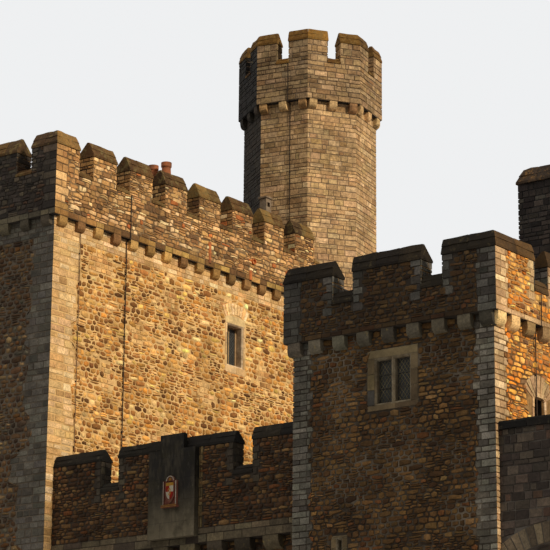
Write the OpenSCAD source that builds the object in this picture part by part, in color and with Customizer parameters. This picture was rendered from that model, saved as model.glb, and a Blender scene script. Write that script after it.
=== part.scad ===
// Castle keep with its stair turret, curtain wall, gate tower, rear turret and gate wall.
// Origin: the great tower's front right corner at ground level. +X right along the fronts,
// +Y towards the back, +Z up. Millimetres.

/* [Great tower] */
// Width of the great tower, left to right
keep_w = 9000; // [7000:100:11000]
// Depth of the great tower, front to back
keep_d = 16200; // [14000:100:18000]
// Thickness of the great tower's walls
keep_t = 1600; // [1000:50:2200]
// Height of the great tower's walls, up to the underside of the parapet
keep_h = 16640; // [14000:100:19000]
// Height of the parapet, up to the crenel sills
keep_breast = 1430; // [1200:10:1900]
// Height of the merlons above the crenel sills
keep_merlon_h = 800; // [600:10:1100]
// Length of each merlon on the front
keep_merlon_front = 1000; // [800:10:1200]
// Length of each merlon on the sides
keep_merlon_side = 1073; // [850:10:1300]
// Length of each leg of a corner merlon
keep_leg = 1010; // [800:10:1200]
// Thickness of the parapet
keep_par_t = 620; // [500:10:750]
// How far the parapet stands out from the wall
keep_proj = 160; // [100:5:300]
// Height of the saddleback coping
keep_cope_h = 490; // [350:10:600]
// Height of the corbels under the parapet
keep_corbel_h = 320; // [260:5:450]
// Spacing of the corbels
keep_pitch = 810; // [700:10:950]
// Width of each corbel
keep_corbel_w = 350; // [260:5:430]
// Distance of the end corbels' middles from the walls' corners
keep_corbel_end = 260; // [220:5:400]
// Height of the coping stones in the crenels
keep_sill_h = 250; // [180:5:320]
// Distance of the copings' ridges behind the parapet's face
keep_ridge = 180; // [100:5:300]
// Height of the upper floor's top
keep_floor_z = 12700; // [11000:50:13200]
// Thickness of the roof slab
keep_roof_t = 300; // [200:10:450]

/* [Great tower window] */
// Distance of the window's middle from the front
kwin_y = 8880; // [6000:50:11000]
// Height of the window's sill
kwin_z = 13660; // [13000:20:14200]
// Width of the window's opening
kwin_w = 770; // [600:10:1000]
// Height of the window's opening
kwin_h = 1330; // [1000:10:1600]
// Width of the dressed stones beside the opening
kwin_jamb = 140; // [100:5:250]
// Height of the sill stone
kwin_sill = 280; // [180:5:350]
// Height of the head stone
kwin_head = 310; // [200:5:350]
// Depth of the dressed stones
kwin_depth = 420; // [300:10:600]
// How far back the glass is set
kwin_inset = 300; // [150:10:380]

/* [Stair turret] */
// Middle of the turret, right of the great tower's right face
turret_x = -1405; // [-2000:5:-900]
// Distance of the turret's middle in front of the great tower's rear face
turret_back = 1350; // [900:10:2000]
// Half the width across the shaft's flats
turret_a = 2180; // [1900:10:2500]
// Thickness of the turret's walls
turret_t = 680; // [450:10:900]
// Turn of the turret about its own axis
turret_turn = 12.1; // [0:0.1:45]
// Height of the shaft, up to the underside of the parapet
turret_h = 24050; // [22000:100:27000]
// Height of the turret's parapet, up to the crenel sills
turret_breast = 1410; // [1200:10:1900]
// Height of the turret's merlons
turret_merlon_h = 800; // [550:10:1000]
// Length of each leg of a turret merlon, from its corner
turret_leg = 730; // [550:10:850]
// Thickness of the turret's parapet
turret_par_t = 440; // [340:10:560]
// How far the turret's parapet stands out
turret_proj = 190; // [100:5:300]
// Height of the turret's coping
turret_cope_h = 400; // [250:10:500]
// Height of the turret's corbels
turret_corbel_h = 330; // [260:5:450]
// Width of each turret corbel
turret_corbel_w = 290; // [200:5:340]
// Height of the coping stones in the turret's crenels
turret_sill_h = 200; // [140:5:280]
// Distance of its copings' ridges behind the parapet's face
turret_ridge = 60; // [30:5:160]

/* [Curtain wall] */
// Length of the curtain wall, from the great tower to the gate tower
curtain_l = 9350; // [8000:10:11000]
// Distance of its parapet's face behind the great tower's front
curtain_y = 330; // [100:10:600]
// Height of the wall, up to the underside of the parapet
curtain_h = 6180; // [5500:10:7000]
// Thickness of the curtain wall
curtain_t = 1250; // [800:10:1800]
// How far its parapet stands out
curtain_proj = 300; // [150:10:400]
// Height of its parapet, up to the crenel sills
curtain_breast = 1800; // [1500:10:2200]
// Height of its merlons
curtain_merlon_h = 930; // [700:10:1200]
// Length of its end merlons
curtain_leg = 1880; // [1500:10:2300]
// Length of its middle merlon
curtain_merlon = 4210; // [3600:10:4800]
// Thickness of its parapet
curtain_par_t = 420; // [320:10:520]
// Height of its coping
curtain_cope_h = 350; // [250:10:500]
// Height of its corbels
curtain_corbel_h = 380; // [250:10:500]
// Spacing of the machicolation openings
curtain_pitch = 975; // [850:5:1100]
// Width of each machicolation opening
curtain_gap = 440; // [300:5:550]
// Distance of the last opening's middle from the gate tower
curtain_last = 790; // [600:10:1000]
// Height of the coping stones in its crenels
curtain_sill_h = 260; // [180:5:320]
// Distance of its copings' ridges behind the parapet's face
curtain_ridge = 90; // [40:5:160]

/* [Panel block] */
// Distance of the block's left side from the great tower
panel_x = 3860; // [3000:10:4500]
// Width of the block
panel_w = 1690; // [1400:10:2000]
// Height of the block's underside
panel_z = 6380; // [6250:10:6700]
// Height of the block
panel_h = 2520; // [2200:10:2530]
// How far the block stands out
panel_out = 200; // [120:5:300]
// Width of the raised middle stone
panel_mid_w = 860; // [700:10:1200]
// Height of the raised middle stone
panel_mid_h = 440; // [300:10:700]
// Width of the shield panel
shield_w = 500; // [400:10:700]
// Height of the shield panel
shield_h = 700; // [550:10:900]
// Height of the shield panel's underside above the block's underside
shield_up = 910; // [600:10:1300]

/* [Gate tower] */
// Width of the gate tower
gt_w = 6420; // [5500:10:7500]
// Depth of the gate tower
gt_d = 7000; // [6000:10:8500]
// How far its front stands before the great tower's front
gt_out = 300; // [100:10:800]
// Thickness of its walls
gt_t = 1100; // [700:10:1500]
// Height of its walls, up to the underside of the parapet
gt_h = 11190; // [10000:50:12500]
// Height of its parapet, up to the crenel sills
gt_breast = 890; // [750:10:1300]
// Height of its merlons
gt_merlon_h = 810; // [600:10:1000]
// Length of a corner merlon's leg on the front
gt_leg_front = 1620; // [1300:10:1900]
// Length of the front's middle merlon
gt_merlon_front = 2180; // [1800:10:2600]
// Length of a corner merlon's leg on the sides
gt_leg_side = 1890; // [1500:10:2200]
// Length of the sides' middle merlon
gt_merlon_side = 2220; // [2000:10:2800]
// Thickness of its parapet
gt_par_t = 500; // [400:10:620]
// How far its parapet stands out
gt_proj = 200; // [100:5:300]
// Height of its coping
gt_cope_h = 440; // [300:10:550]
// Height of its corbels
gt_corbel_h = 380; // [300:5:500]
// Width of each of its corbels
gt_corbel_w = 400; // [300:5:500]
// Height of the coping stones in its crenels
gt_sill_h = 330; // [220:5:400]
// Distance of its copings' ridges behind the parapet's face
gt_ridge = 65; // [30:5:160]
// Number of gaps between the front's corbels
gt_gaps_front = 8; // [6:1:10]
// Number of gaps between the sides' corbels
gt_gaps_side = 9; // [7:1:11]
// Height of its first floor's top
gt_floor1_z = 4200; // [3600:20:4600]
// Height of its second floor's top
gt_floor2_z = 8300; // [7600:20:8700]

/* [Gate tower openings] */
// Distance of the two-light window's middle from the tower's left side
gwin_x = 3250; // [2600:10:3900]
// Height of the window's sill
gwin_z = 9220; // [9000:10:9500]
// Height of its lights
gwin_h = 1170; // [800:10:1250]
// Width of each light
gwin_light = 470; // [350:5:560]
// Width of the mullion
gwin_mull = 120; // [90:5:200]
// Width of the dressed stones beside the lights
gwin_jamb = 280; // [180:5:350]
// Height of the head stone
gwin_head = 280; // [200:10:380]
// Height of the sill stone
gwin_sill = 200; // [150:10:300]
// Width of the chamfer round each window opening
chamfer = 40; // [20:1:55]
// Depth of the dressed stones
gwin_depth = 380; // [300:10:500]
// How far back the glass is set
gwin_inset = 160; // [100:5:260]
// Thickness of leaded glass
glass_t = 24; // [12:1:40]
// Distance of the slit's middle from the tower's left side
slit_x = 1510; // [1200:10:2000]
// Height of the slit's foot
slit_z = 4700; // [4400:10:5000]
// Height of the slit
slit_h = 1000; // [700:10:1300]
// Width of the slit
slit_w = 110; // [80:5:200]
// Width of its dressed stones
slit_jamb = 205; // [150:5:300]
// Distance of the side window's middle behind the tower's front
swin_y = 2150; // [1900:10:2600]
// Height of the side window's sill
swin_z = 8450; // [8400:10:8800]
// Width of the side window
swin_w = 400; // [300:10:500]
// Height of the side window
swin_h = 800; // [500:10:1000]

/* [Gate wall] */
// Length of the gate wall, right of the gate tower
gw_l = 4900; // [4200:50:7000]
// Thickness of the gate wall
gw_t = 1200; // [800:10:1600]
// How far its face stands behind the gate tower's front
gw_back = 150; // [40:5:300]
// Height of the gate wall without its coping
gw_h = 8090; // [7200:10:9000]
// Height of its coping
gw_cope = 270; // [150:10:350]
// How far its coping stands out
gw_over = 60; // [30:5:120]
// Distance of the arch's middle from the gate tower
gw_arch_x = 1570; // [1500:10:2000]
// Width of the arch
gw_arch_w = 2700; // [2200:10:2900]
// Height of the arch's crown
gw_crown = 5090; // [4600:10:5600]
// Radius of the arch's curve
gw_arch_r = 2200; // [1500:10:3500]

/* [Rear turret] */
// Width of the rear turret
rt_w = 3450; // [3000:10:4200]
// Depth of the rear turret
rt_d = 3450; // [3000:10:4200]
// Height of its walls
rt_h = 17030; // [16000:50:18500]
// Thickness of its walls
rt_t = 700; // [500:10:900]
// Height of its coping
rt_cope_h = 480; // [300:10:600]
// How far its coping stands out
rt_over = 70; // [40:5:150]
// Distance of its coping's ridge behind the wall's face
rt_ridge = 110; // [60:5:250]

/* [Doorways] */
// Width of the plain doorways
door_w = 1100; // [800:10:1400]
// Height of their arches' springing
door_h = 1700; // [1500:10:2200]
// Thickness of the floors
floor_t = 250; // [150:10:400]

/* [Roof pieces] */
// Width of the chimney stack
stack_w = 1150; // [800:10:1500]
// Depth of the chimney stack
stack_d = 650; // [450:10:900]
// Height of the chimney stack above the roof
stack_h = 3250; // [2600:10:3600]
// Distance of the stack's middle behind the front
stack_y = 8000; // [6000:50:10000]
// Distance of the stack's middle left of the right face
stack_in = 2650; // [1800:10:3600]
// Outer radius of the chimney pots' foot
pot_r = 180; // [120:5:220]
// Height of the chimney pots
pot_h = 660; // [400:10:900]
// Wall thickness of the chimney pots
pot_t = 30; // [15:1:50]
// Width of the square flue by the turret
flue_w = 280; // [200:10:400]
// Height of that flue above the roof
flue_h = 3150; // [2600:10:3400]

/* [Small details] */
// How far copings stand out over the walls
cope_over = 40; // [20:1:70]
// Height of the upright edge of a coping
cope_edge = 70; // [40:1:120]
// Width of the flat along a coping's ridge
cope_flat = 70; // [30:1:120]
// How far a coping's upper course stands out over its lower course
cope_step = 16; // [8:1:25]
// Width of the open joint between neighbouring parapet lengths
joint = 3; // [1:0.5:8]
// Outer radius of the clay drain pipes
spout_r = 95; // [70:1:120]
// How far the clay drain pipes stand out
spout_l = 90; // [50:5:200]
// Radius of the half-round clay tiles
tile_r = 65; // [45:1:90]
// Width of the lightning conductors
tape_w = 40; // [20:1:60]
// Thickness of the lightning conductors
tape_t = 12; // [6:1:20]
// Distance between the great tower's conductor and the next corbel
tape_gap = 50; // [20:5:120]
// Clearance round a slab that is laid between walls or parapets
lay = 2; // [1:0.5:5]

/* [Hidden] */
$fn = 48;
gt_x0 = curtain_l;
gt_x1 = curtain_l + gt_w;
gt_y0 = -gt_out;
gt_y1 = gt_d - gt_out;
rt_x0 = gt_x1 - rt_w;
rt_y1 = gt_y1 + rt_d;
rt_door_x = (rt_x0 + rt_t + gt_x1 - gt_t) / 2;
keep_top = keep_h + keep_breast;
turret_y = keep_d - turret_back;
turret_side = 2 * (turret_a + turret_proj) * tan(22.5);
gw_y0 = gt_y0 + gw_back;
gw_spring = gw_crown - gw_arch_r + sqrt(gw_arch_r * gw_arch_r - gw_arch_w * gw_arch_w / 4);

// A block between two opposite corners.
module block(a, b) {
  translate(a)
    cube(b - a);
}

// Puts a child drawn along one side of a rectangular tower on side k, counted from the front.
module on_side(x0, y0, x1, y1, k) {
  at = [[x0, y0], [x1, y0], [x1, y1], [x0, y1]][k];
  translate([at[0], at[1], 0])
    rotate(90 * k)
      children();
}

// Puts a child drawn along one side of an octagon on the side that faces the angle th.
module on_octagon(a, th) {
  translate([turret_x, turret_y, 0])
    rotate(th + 90)
      translate([-a * tan(22.5), -a, 0])
        children();
}

// Spans of merlon i on a run of length len with n merlons between two legs.
function crenel(len, n, leg, merlon) = (len - 2 * leg - n * merlon) / (n + 1);
function start(len, n, leg, merlon, i) =
  i == 0 ? 0 : i == n + 1 ? len - leg
  : leg + crenel(len, n, leg, merlon) + (i - 1) * (merlon + crenel(len, n, leg, merlon));
function stop(len, n, leg, merlon, i) =
  i == 0 ? leg : i == n + 1 ? len : start(len, n, leg, merlon, i) + merlon;

// One straight length of parapet along +X, its outer face at y = 0, mitred at both ends.
module parapet_run(len, n, leg, merlon, t, breast, mh, m) {
  intersection() {
    union() {
      cube([len, t, breast]);
      for (i = [0 : n + 1])
        block([start(len, n, leg, merlon, i), 0, 0],
              [stop(len, n, leg, merlon, i), t, breast + mh]);
    }
    linear_extrude(breast + mh)
      polygon([[joint / 2, 0], [len - joint / 2, 0],
               [len - t * tan(m) - joint / 2, t], [t * tan(m) + joint / 2, t]]);
  }
}

// Coping section: two courses with weathered slopes and a flat ridge, r behind the face.
module saddle(t, over, h, r) {
  k = (h - cope_edge) * 0.45;
  x = (r + over) * 0.45 - over;
  polygon([[-over, 0], [t + over, 0], [t + over, cope_edge],
           [r + cope_flat, h], [r, h], [x - cope_step, cope_edge + k], [x, cope_edge + k],
           [-over, cope_edge]]);
}

// Copings of one parapet run: mitred at the corners, gabled at the crenels.
module coping_run(len, n, leg, merlon, t, h, r, m) {
  o = cope_over;
  g = joint / 2;
  for (i = [0 : n + 1]) {
    a = start(len, n, leg, merlon, i);
    b = stop(len, n, leg, merlon, i);
    intersection() {
      translate([-t, 0, 0])
        rotate([90, 0, 90])
          linear_extrude(len + 2 * t)
            saddle(t, o, h, r);
      linear_extrude(h)
        polygon([[i == 0 ? g - o * tan(m) : a - o, -o],
                 [i == n + 1 ? len - g + o * tan(m) : b + o, -o],
                 [i == n + 1 ? len - g - (t + o) * tan(m) : b + o, t + o],
                 [i == 0 ? g + (t + o) * tan(m) : a - o, t + o]]);
    }
  }
}

// Lower copings that close the crenels of one run.
module sill_run(len, n, leg, merlon, t, h, r) {
  for (i = [0 : n])
    translate([stop(len, n, leg, merlon, i), 0, 0])
      rotate([90, 0, 90])
        linear_extrude(start(len, n, leg, merlon, i + 1) - stop(len, n, leg, merlon, i))
          saddle(t, cope_over, h, r);
}

// One corbel with a quadrant nose: outer face at y = 0, wall face at y = p, top at z = 0.
module corbel(w, p, h) {
  q = min(p, h);
  translate([-w / 2, 0, 0])
    rotate([90, 0, 90])
      linear_extrude(w)
        polygon(concat([[p, 0], [0, 0]],
          [for (a = [0 : 15 : 90]) [p * (1 - cos(a)), q - h - q * sin(a)]]));
}

// Window opening cut along +Y from y = 0, its four outer edges chamfered.
module window_cut(w, h, depth) {
  c = chamfer;
  translate([-w / 2, -1, 0])
    cube([w, depth + 2, h]);
  intersection() {
    translate([0, 0, -c - 2])
      linear_extrude(h + 2 * c + 4)
        polygon([[-w / 2 - c - 1, -1], [w / 2 + c + 1, -1], [w / 2, c], [-w / 2, c]]);
    translate([-w, 0, 0])
      rotate([90, 0, 90])
        linear_extrude(2 * w)
          polygon([[-1, -c - 1], [-1, h + c + 1], [c, h], [c, 0]]);
  }
}

// Plain round-headed doorway, cut along +Y from y = 0 and centred on x = 0.
module doorway(depth) {
  rotate([90, 0, 0])
    translate([0, 0, -depth])
      linear_extrude(depth) {
        translate([-door_w / 2, 0])
          square([door_w, door_h]);
        translate([0, door_h])
          circle(d = door_w);
      }
}

// The octagonal space that the turret takes out of its neighbours.
module turret_space() {
  translate([turret_x, turret_y, -1])
    rotate(turret_turn + 22.5)
      cylinder(r = turret_a / cos(22.5), h = turret_h + 2, $fn = 8);
}

// Great tower

module keep_shell() {
  difference() {
    block([-keep_w, 0, 0], [0, keep_d, keep_h]);
    block([keep_t - keep_w, keep_t, -1], [-keep_t, keep_d - keep_t, keep_h + 1]);
    turret_space();
  }
}

module keep_front_wall() {
  color([0.45, 0.4, 0.33])
    block([-keep_w, 0, 0], [0, keep_t, keep_h]);
}

module keep_right_wall() {
  color([0.7, 0.6, 0.45])
    difference() {
      intersection() {
        keep_shell();
        block([-keep_t, keep_t, 0], [0, keep_d - keep_t, keep_h]);
      }
      block([-kwin_depth, kwin_y - kwin_w / 2 - kwin_jamb, kwin_z - kwin_sill],
            [1, kwin_y + kwin_w / 2 + kwin_jamb, kwin_z + kwin_h + kwin_head]);
      block([-keep_t - 1, kwin_y - kwin_w / 2 - 200, kwin_z - 400],
            [-kwin_depth + 1, kwin_y + kwin_w / 2 + 200, kwin_z + kwin_h + 200]);
    }
}

module keep_rear_wall() {
  color([0.6, 0.52, 0.4])
    intersection() {
      keep_shell();
      block([-keep_w, keep_d - keep_t, 0], [0, keep_d, keep_h]);
    }
}

module keep_left_wall() {
  color([0.5, 0.44, 0.35])
    difference() {
      block([-keep_w, keep_t, 0], [keep_t - keep_w, keep_d - keep_t, keep_h]);
      translate([-keep_w - 1, keep_d / 2, floor_t])
        rotate(-90)
          doorway(keep_t + 2);
    }
}

module keep_floors() {
  color([0.4, 0.3, 0.2])
    difference() {
      union() {
        block([keep_t - keep_w, keep_t, 0], [-keep_t, keep_d - keep_t, floor_t]);
        block([keep_t - keep_w, keep_t, keep_floor_z - floor_t],
              [-keep_t, keep_d - keep_t, keep_floor_z]);
      }
      turret_space();
    }
}

module keep_roof() {
  in = keep_par_t - keep_proj + lay;
  color([0.4, 0.42, 0.44])
    difference() {
      block([in - keep_w, in, keep_h], [-in, keep_d - in, keep_h + keep_roof_t]);
      turret_space();
    }
}

module keep_sides(k) {
  on_side(-keep_w - keep_proj, -keep_proj, keep_proj, keep_d + keep_proj, k)
    children();
}

// Middle of corbel i, counted from the corner of a wall of length len.
function keep_gaps(len) = round((len - 2 * keep_corbel_end) / keep_pitch);
function keep_corbel_at(len, i) =
  keep_corbel_end + i * (len - 2 * keep_corbel_end) / keep_gaps(len);

module keep_corbels() {
  p = keep_proj;
  color([0.75, 0.7, 0.6])
    difference() {
      for (k = [0 : 3]) {
        len = k % 2 == 0 ? keep_w : keep_d;
        keep_sides(k)
          for (i = [0 : keep_gaps(len)])
            translate([p + keep_corbel_at(len, i), 0, keep_h])
              corbel(keep_corbel_w, p, keep_corbel_h);
      }
      turret_space();
    }
}

module keep_parapet() {
  p = keep_proj;
  color([0.65, 0.55, 0.4])
    difference() {
      for (k = [0 : 3])
        keep_sides(k)
          translate([0, 0, keep_h])
            parapet_run((k % 2 == 0 ? keep_w : keep_d) + 2 * p, k % 2 == 0 ? 4 : 8, keep_leg,
              k % 2 == 0 ? keep_merlon_front : keep_merlon_side,
              keep_par_t, keep_breast, keep_merlon_h, 45);
      turret_space();
    }
}

module keep_copings() {
  p = keep_proj;
  color([0.35, 0.28, 0.2])
    difference() {
      for (k = [0 : 3])
        keep_sides(k) {
          len = (k % 2 == 0 ? keep_w : keep_d) + 2 * p;
          n = k % 2 == 0 ? 4 : 8;
          merlon = k % 2 == 0 ? keep_merlon_front : keep_merlon_side;
          translate([0, 0, keep_top + keep_merlon_h])
            coping_run(len, n, keep_leg, merlon, keep_par_t, keep_cope_h, keep_ridge, 45);
          translate([0, 0, keep_top])
            sill_run(len, n, keep_leg, merlon, keep_par_t, keep_sill_h, keep_ridge);
        }
      turret_space();
    }
}

module keep_window_stones() {
  y0 = kwin_y - kwin_w / 2;
  color([0.8, 0.75, 0.62])
    difference() {
      block([-kwin_depth, y0 - kwin_jamb, kwin_z - kwin_sill],
            [0, y0 + kwin_w + kwin_jamb, kwin_z + kwin_h + kwin_head]);
      translate([0, kwin_y, kwin_z])
        rotate(90)
          window_cut(kwin_w, kwin_h, kwin_depth);
    }
}

module keep_window_glass() {
  y0 = kwin_y - kwin_w / 2;
  color([0.1, 0.12, 0.14])
    block([-kwin_inset - glass_t, y0, kwin_z], [-kwin_inset, y0 + kwin_w, kwin_z + kwin_h]);
}

module chimney_stack() {
  z = keep_h + keep_roof_t;
  color([0.5, 0.42, 0.32])
    difference() {
      union() {
        block([-stack_in - stack_w / 2, stack_y - stack_d / 2, z],
              [stack_w / 2 - stack_in, stack_y + stack_d / 2, z + stack_h]);
        block([-stack_in - stack_w / 2 - 60, stack_y - stack_d / 2 - 60, z + stack_h - 260],
              [stack_w / 2 - stack_in + 60, stack_y + stack_d / 2 + 60, z + stack_h - 100]);
      }
      for (s = [-1, 1])
        translate([s * stack_w / 4 - stack_in, stack_y, z + 400])
          cylinder(r = pot_r - pot_t - 20, h = stack_h);
    }
}

module chimney_pots() {
  z = keep_h + keep_roof_t + stack_h;
  color([0.75, 0.35, 0.15])
    for (s = [-1, 1])
      translate([s * stack_w / 4 - stack_in, stack_y, z])
        rotate_extrude()
          polygon([[pot_r - pot_t, 0], [pot_r, 0], [pot_r - 30, pot_h * 0.7],
                   [pot_r, pot_h * 0.78], [pot_r, pot_h], [pot_r - pot_t - 25, pot_h],
                   [pot_r - pot_t - 30, pot_h * 0.6]]);
}

module roof_flue() {
  z = keep_h + keep_roof_t;
  x = keep_proj - keep_par_t - cope_over - flue_w - 30;
  y = turret_y - turret_a - 1500;
  color([0.7, 0.68, 0.62]) {
    difference() {
      block([x, y, z], [x + flue_w, y + flue_w, z + flue_h]);
      block([x + 50, y + 50, z + 300], [x + flue_w - 50, y + flue_w - 50, z + flue_h - 120]);
      block([x - 1, y + 70, z + flue_h - 300],
            [x + flue_w + 1, y + flue_w - 70, z + flue_h - 140]);
    }
    block([x - 40, y - 40, z + flue_h], [x + flue_w + 40, y + flue_w + 40, z + flue_h + 60]);
  }
}

// Stair turret

module turret_prism(a, h) {
  translate([turret_x, turret_y, 0])
    rotate(turret_turn + 22.5)
      cylinder(r = a / cos(22.5), h = h, $fn = 8);
}

// Doorways: out at the back, into both rooms of the great tower and onto its roof.
module turret_shaft() {
  color([0.7, 0.62, 0.48])
    difference() {
      turret_prism(turret_a, turret_h);
      translate([0, 0, floor_t])
        turret_prism(turret_a - turret_t, turret_h);
      for (d = [[0, floor_t], [135, floor_t], [135, keep_floor_z], [90, keep_h + keep_roof_t]])
        translate([turret_x, turret_y, d[1]])
          rotate(turret_turn + d[0])
            doorway(turret_a + 100);
    }
}

module turret_corbels() {
  a = turret_a + turret_proj;
  color([0.7, 0.64, 0.5])
    for (k = [0 : 7])
      on_octagon(a, turret_turn + 45 * k)
        translate([turret_side / 2, 0, turret_h])
          for (i = [-1 : 1])
            translate([i * (turret_side / 2 - turret_proj * tan(22.5) - turret_corbel_w / 2 - lay),
                       0, 0])
              corbel(turret_corbel_w, turret_proj, turret_corbel_h);
}

module turret_parapet() {
  color([0.7, 0.62, 0.48])
    for (k = [0 : 7])
      on_octagon(turret_a + turret_proj, turret_turn + 45 * k)
        translate([0, 0, turret_h])
          parapet_run(turret_side, 0, turret_leg, 0, turret_par_t, turret_breast,
            turret_merlon_h, 22.5);
}

module turret_copings() {
  color([0.6, 0.45, 0.22])
    for (k = [0 : 7])
      on_octagon(turret_a + turret_proj, turret_turn + 45 * k) {
        translate([0, 0, turret_h + turret_breast + turret_merlon_h])
          coping_run(turret_side, 0, turret_leg, 0, turret_par_t, turret_cope_h, turret_ridge,
            22.5);
        translate([0, 0, turret_h + turret_breast])
          sill_run(turret_side, 0, turret_leg, 0, turret_par_t, turret_sill_h, turret_ridge);
      }
}

module turret_roof() {
  color([0.4, 0.42, 0.44])
    translate([0, 0, turret_h])
      turret_prism(turret_a + turret_proj - turret_par_t - lay, keep_roof_t);
}

// Curtain wall

module curtain_wall() {
  color([0.4, 0.34, 0.26])
    block([0, curtain_y + curtain_proj, 0],
          [curtain_l, curtain_y + curtain_proj + curtain_t, curtain_h]);
}

module curtain_corbels() {
  n = floor((curtain_l - curtain_last) / curtain_pitch - 0.3);
  color([0.45, 0.4, 0.33])
    for (i = [0 : n])
      translate([curtain_l - curtain_last - (i - 0.5) * curtain_pitch, curtain_y, curtain_h])
        corbel(curtain_pitch - curtain_gap, curtain_proj, curtain_corbel_h);
}

module curtain_parapet() {
  color([0.4, 0.34, 0.26])
    translate([0, curtain_y, curtain_h])
      parapet_run(curtain_l, 1, curtain_leg, curtain_merlon, curtain_par_t, curtain_breast,
        curtain_merlon_h, 0);
}

module curtain_copings() {
  z = curtain_h + curtain_breast;
  color([0.18, 0.17, 0.16])
    intersection() {
      translate([0, curtain_y, 0]) {
        translate([0, 0, z + curtain_merlon_h])
          coping_run(curtain_l, 1, curtain_leg, curtain_merlon, curtain_par_t, curtain_cope_h,
            curtain_ridge, 0);
        translate([0, 0, z])
          sill_run(curtain_l, 1, curtain_leg, curtain_merlon, curtain_par_t, curtain_sill_h,
            curtain_ridge);
      }
      block([0, -1000, 0], [curtain_l, 3000, z + 3000]);
    }
}

module panel_block() {
  z1 = curtain_h + curtain_breast + curtain_merlon_h;
  y0 = curtain_y - panel_out;
  mid = panel_x + panel_w / 2;
  color([0.36, 0.34, 0.3]) {
    block([panel_x, y0, panel_z], [panel_x + panel_w, curtain_y, min(panel_z + panel_h, z1)]);
    block([mid - panel_mid_w / 2, y0, panel_z + panel_h - 1],
          [mid + panel_mid_w / 2, curtain_y - cope_over, panel_z + panel_h + panel_mid_h]);
  }
}

module shield_panel() {
  mid = panel_x + panel_w / 2;
  y0 = curtain_y - panel_out;
  w = shield_w;
  h = shield_h;
  color([0.6, 0.3, 0.2])
    translate([mid, y0, panel_z + shield_up]) {
      block([-w / 2, -40, 0], [w / 2, 0, h]);
      block([-w / 2 - 40, -110, -60], [w / 2 + 40, 0, 0]);
      intersection() {
        translate([0, 0, h])
          rotate([90, 0, 0])
            cylinder(r = w * 0.3, h = 60);
        block([-w, -60, h - 1], [w, 0, h + w]);
      }
      for (s = [-1, 1])
        block([s * (w / 2 - 20) - 20, -75, 0], [s * (w / 2 - 20) + 20, 0, h]);
      translate([0, -39, 0])
        rotate([90, 0, 0])
          linear_extrude(31)
            intersection() {
              translate([-w * 0.34, h * 0.08])
                square([w * 0.68, h * 0.82]);
              union() {
                translate([-w * 0.34, h * 0.5])
                  square([w * 0.68, h * 0.4]);
                for (s = [-1, 1])
                  intersection() {
                    translate([s * w * 0.34, h * 0.5])
                      circle(r = w * 0.68, $fn = 96);
                    translate([-s * w * 0.34, h * 0.5])
                      circle(r = w * 0.68, $fn = 96);
                    translate([-w, h * 0.5 - w])
                      square([2 * w, w]);
                  }
              }
            }
    }
}

// Gate tower

module gate_tower_front_wall() {
  x = gt_x0 + gwin_x;
  hw = gwin_light + gwin_mull / 2;
  sx = gt_x0 + slit_x;
  color([0.42, 0.28, 0.2])
    difference() {
      block([gt_x0, gt_y0, 0], [gt_x1, gt_y0 + gt_t, gt_h]);
      block([x - hw - gwin_jamb, gt_y0 - 1, gwin_z - gwin_sill],
            [x + hw + gwin_jamb, gt_y0 + gwin_depth, gwin_z + gwin_h + gwin_head]);
      block([x - hw - 100, gt_y0 + gwin_depth - 1, gwin_z - 300],
            [x + hw + 100, gt_y0 + gt_t + 1, gwin_z + gwin_h + 100]);
      block([sx - slit_w / 2 - slit_jamb, gt_y0 - 1, slit_z - 100],
            [sx + slit_w / 2 + slit_jamb, gt_y0 + gwin_depth, slit_z + slit_h + 110]);
      block([sx - 300, gt_y0 + gwin_depth - 1, slit_z - 150],
            [sx + 300, gt_y0 + gt_t + 1, slit_z + slit_h + 60]);
    }
}

module gate_tower_right_wall() {
  y = gt_y0 + swin_y;
  color([0.55, 0.38, 0.24])
    difference() {
      block([gt_x1 - gt_t, gt_y0 + gt_t, 0], [gt_x1, gt_y1 - gt_t, gt_h]);
      translate([gt_x1, y, swin_z])
        rotate(90)
          window_cut(swin_w, swin_h, gt_t);
    }
}

module gate_tower_rear_wall() {
  color([0.42, 0.3, 0.22])
    difference() {
      block([gt_x0, gt_y1 - gt_t, 0], [gt_x1, gt_y1, gt_h]);
      translate([(gt_x0 + gt_t + rt_x0) / 2, gt_y1 - gt_t - 1, floor_t])
        doorway(gt_t + 2);
      for (z = [gt_floor1_z, gt_floor2_z])
        translate([rt_door_x, gt_y1 - gt_t - 1, z])
          doorway(gt_t + 2);
    }
}

module gate_tower_left_wall() {
  color([0.42, 0.3, 0.22])
    block([gt_x0, gt_y0 + gt_t, 0], [gt_x0 + gt_t, gt_y1 - gt_t, gt_h]);
}

module gate_tower_floors() {
  color([0.4, 0.3, 0.2])
    for (z = [floor_t, gt_floor1_z, gt_floor2_z])
      block([gt_x0 + gt_t, gt_y0 + gt_t, z - floor_t], [gt_x1 - gt_t, gt_y1 - gt_t, z]);
}

module rear_turret_space() {
  in = gt_par_t - gt_proj;
  block([rt_x0, gt_y1, -1], [gt_x1 + 1000, rt_y1, rt_h + 1]);
  block([rt_x0, gt_y1 - in - cope_over - 1, -1], [gt_x1 - in - cope_over, gt_y1 + 1, rt_h + 1]);
}

module gate_tower_roof() {
  in = gt_par_t - gt_proj + lay;
  color([0.4, 0.42, 0.44])
    block([gt_x0 + in, gt_y0 + in, gt_h], [gt_x1 - in, gt_y1 - in, gt_h + keep_roof_t]);
}

module gate_tower_sides(k) {
  on_side(gt_x0 - gt_proj, gt_y0 - gt_proj, gt_x1 + gt_proj, gt_y1 + gt_proj, k)
    children();
}

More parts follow.
